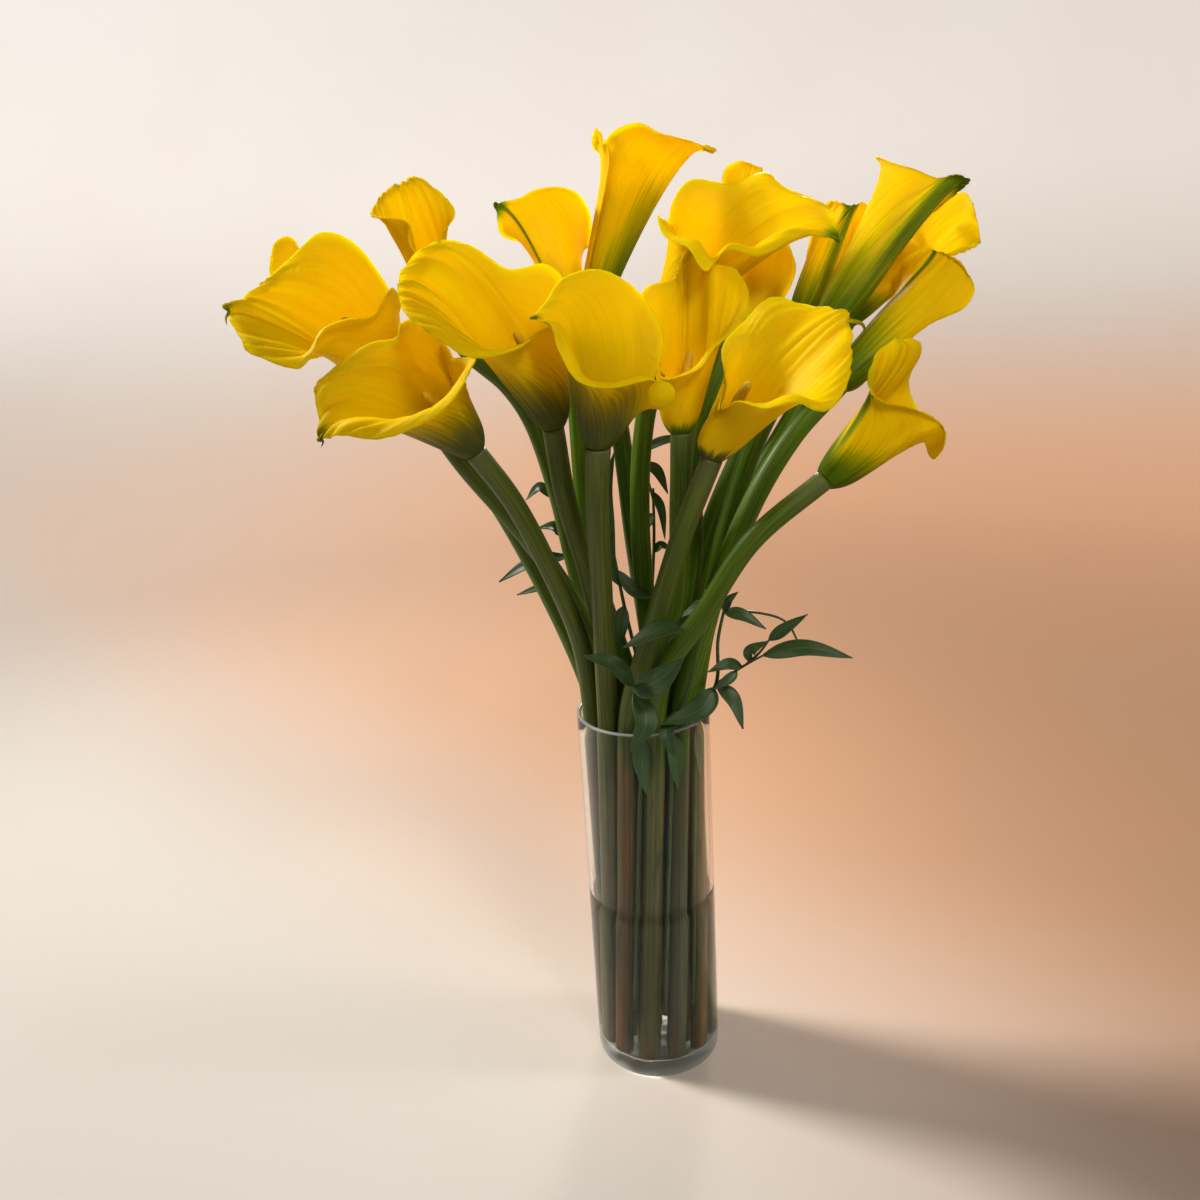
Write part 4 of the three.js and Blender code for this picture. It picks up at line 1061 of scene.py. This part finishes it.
def clear_material(name, tint, smudge, index, rough, lip_rough, foot_clearness):
    """Clear glass or water, faintly smudged; lamps shine through. Its white, rougher lip is partly a ground
    lip and partly a painted highlight, and its paler, less clear foot is a painted brightness.
    """
    paint = Paint(name)
    place, height = paint.place()
    film = paint.noise(place, 18, 2, 0.6)
    # The lip's white is partly a ground lip, partly a painted highlight; the paler foot is painted
    # brightness.
    lip = paint.share(height, *LIP_RISE)
    colour = paint.mix(paint.share(film, 0.4, 0.75), tint, smudge)
    lip_clear = paint.share(height, *LIP_RISE, 1, 0.75)
    roughness = paint.share(film, 0.45, 0.8, 0, rough)
    clear = paint.times(lip_clear, paint.share(height, 0, PAINTED_PALE_FOOT, foot_clearness, 1))
    more = {"Transmission Weight": clear, "Specular Tint": (0.3, 0.3, 0.3), "IOR": index}
    colour = paint.mix(lip, colour, (1, 1, 1))
    body = paint.surface(colour, paint.plus(roughness, paint.times(lip, lip_rough)), more)
    through = paint.add("BsdfTransparent", {"Color": tint}).outputs[0]
    return paint.finish(paint.both(paint.add("LightPath").outputs["Is Shadow Ray"], body, through))


def floor_material():
    """Pale paper with a painted warm pinkish light behind and right of the vase, paler up the wall, and a
    painted glow stronger far off, high up and to the left. The camera sees it glow more than the scene
    does.
    """
    paint = Paint("studio_floor")
    place, height = paint.place()
    tone = paint.noise(place, 2.5, 1)
    parts = paint.parts(place)
    away = paint.add("VectorMath", {0: place}, operation="LENGTH").outputs["Value"]
    # Painted warm light, pinkish, behind the vase and into its shadow on the right, low on the wall and
    # floor.
    behind = paint.plus(parts["Y"], paint.times(parts["X"], 0.9))
    painted_peach_light = paint.times(paint.share(behind, -0.3, 0.65), paint.share(height, 0.6, 0))
    painted_peach_light = paint.times(painted_peach_light, paint.share(parts["X"], -1.5, 0.3, 0.4, 1))
    # Paler higher up the wall: painted light.
    pale = paint.mix(paint.share(height, 0.2, 1.0), (0.64, 0.605, 0.555), (0.79, 0.77, 0.74))
    colour = paint.mix(painted_peach_light, pale, (0.83, 0.47, 0.28))
    colour = paint.mix(paint.share(tone, 0.35, 0.65, 0, 0.06), colour, (0.66, 0.5, 0.4))
    # The glow is a painted pool of light, stronger far off, high up and to the left.
    shine = paint.times(paint.share(away, 0.5, 2.6), paint.share(height, 0, 0.9, 0.58, 0.78))
    shine = paint.times(shine, paint.share(parts["X"], 1.8, -1.4, 0.74, 1.15))
    lighting = paint.share(parts["Y"], -0.5, 0.9, 0, 0.25)
    seen = paint.math("MAXIMUM", paint.add("LightPath").outputs["Is Camera Ray"], lighting)
    paint.material.cycles.emission_sampling = "NONE"
    more = {"Emission Color": colour, "Emission Strength": paint.times(shine, seen)}
    return paint.finish(paint.surface(colour, 0.9, more))


def add_floor():
    """A round studio floor that sweeps up into a pale wall."""
    sides, low = 96, -0.02
    profile = [(radius, low) for radius in (0.02, 700, 1500, 1900)]
    profile += [(r, z + low) for r, z in arc((1900, 600), 600, -90, 0, 18)]
    profile += [(2500, 2200)]
    faces = [face[::-1] for face in wrapped_faces(len(profile), sides)]
    points = lathe(profile, sides).reshape(-1, 3)
    floor = placed("studio_floor", smooth_mesh("studio_floor", points, faces, floor_material()))


def add_camera():
    right, up, ahead = view_axes()
    data = bpy.data.cameras.new("camera")
    data.lens = 30
    data.sensor_width = 36
    data.clip_start = 0.01
    data.clip_end = 20
    camera = placed("camera", data)
    turned = Matrix(np.column_stack([right, up, -ahead]).tolist()).to_4x4()
    camera.matrix_world = Matrix.Translation(np.array(VIEW["eye"]) / METRE) @ turned
    scene.camera = camera


def add_lamp(name, place, aim, size, power, colour, spread):
    """A round soft lamp that the camera doesn't see; its light fans out by the spread."""
    data = bpy.data.lights.new(name, "AREA")
    data.shape = "DISK"
    data.size = size
    data.energy = power
    data.color = colour
    data.spread = radians(spread)
    lamp = placed(name, data)
    lamp.visible_camera = False
    lamp.location = place
    lamp.rotation_mode = "QUATERNION"
    lamp.rotation_quaternion = (Vector(aim) - Vector(place)).to_track_quat("-Z", "Y")


def add_world(colour, strength):
    world = bpy.data.worlds.new("studio")
    world.use_nodes = True
    background = world.node_tree.nodes["Background"]
    background.inputs["Color"].default_value = colour
    background.inputs["Strength"].default_value = strength
    scene.world = world


scene.view_settings.view_transform = "Standard"
add_camera()
add_floor()
add_world((1.0, 0.98, 0.96, 1), 0.07)
add_lamp("key", (-1.02, 0.42, 1.45), (0, 0, 0.33), 0.3, 29, (1.0, 0.98, 0.94), 180)
add_lamp("back", (0.3, 1.3, 1.2), (0.04, 0, 0.62), 0.4, 1.6, (1.0, 0.98, 0.94), 38)
add_lamp("fill", (0.5, -1.0, 1.5), (0.07, 0, 0.58), 0.4, 0.55, (1.0, 0.96, 0.88), 34)
add_lamp("edge", (0.9, -0.1, 0.45), (0, 0, 0.06), 0.25, 0.2, (1.0, 1.0, 1.0), 40)

fresh_skin = spathe_material("spathe_fresh", (0.46, 0.49, 0), (0.05, 0.11, 0.001), (0.18, 0.29, 0.004))
greyed_skin = spathe_material("spathe_greyed", (0.46, 0.38, 0), (0.07, 0.085, 0.02), (0.15, 0.17, 0.04))
stem_skin = stem_material()
spadix_skin = spadix_material()
leaf_skin = leaf_material()
add_vase(clear_material("clear_glass", (0.97, 0.99, 0.98), (0.93, 0.95, 0.93), 1.42, 0.05, 0.3, 0.85))
add_water(clear_material("still_water", (0.95, 0.95, 0.9), (0.87, 0.86, 0.76), 1.333, 0.03, 0, 1))
for seed, (name, entry) in enumerate(BLOOMS.items()):
    bloom = {**USUAL, **entry, "name": name, "rim": RIMS[name]}
    add_stem(bloom, stem_skin, 10 + seed)
    add_spathe(bloom, greyed_skin if bloom["olive"] > 0.5 else fresh_skin, 100 * (seed + 1))
    add_spadix(bloom, spadix_skin)
for seed, (name, form) in enumerate(SPRAYS.items()):
    add_spray(name, form, leaf_skin, 500 + seed)
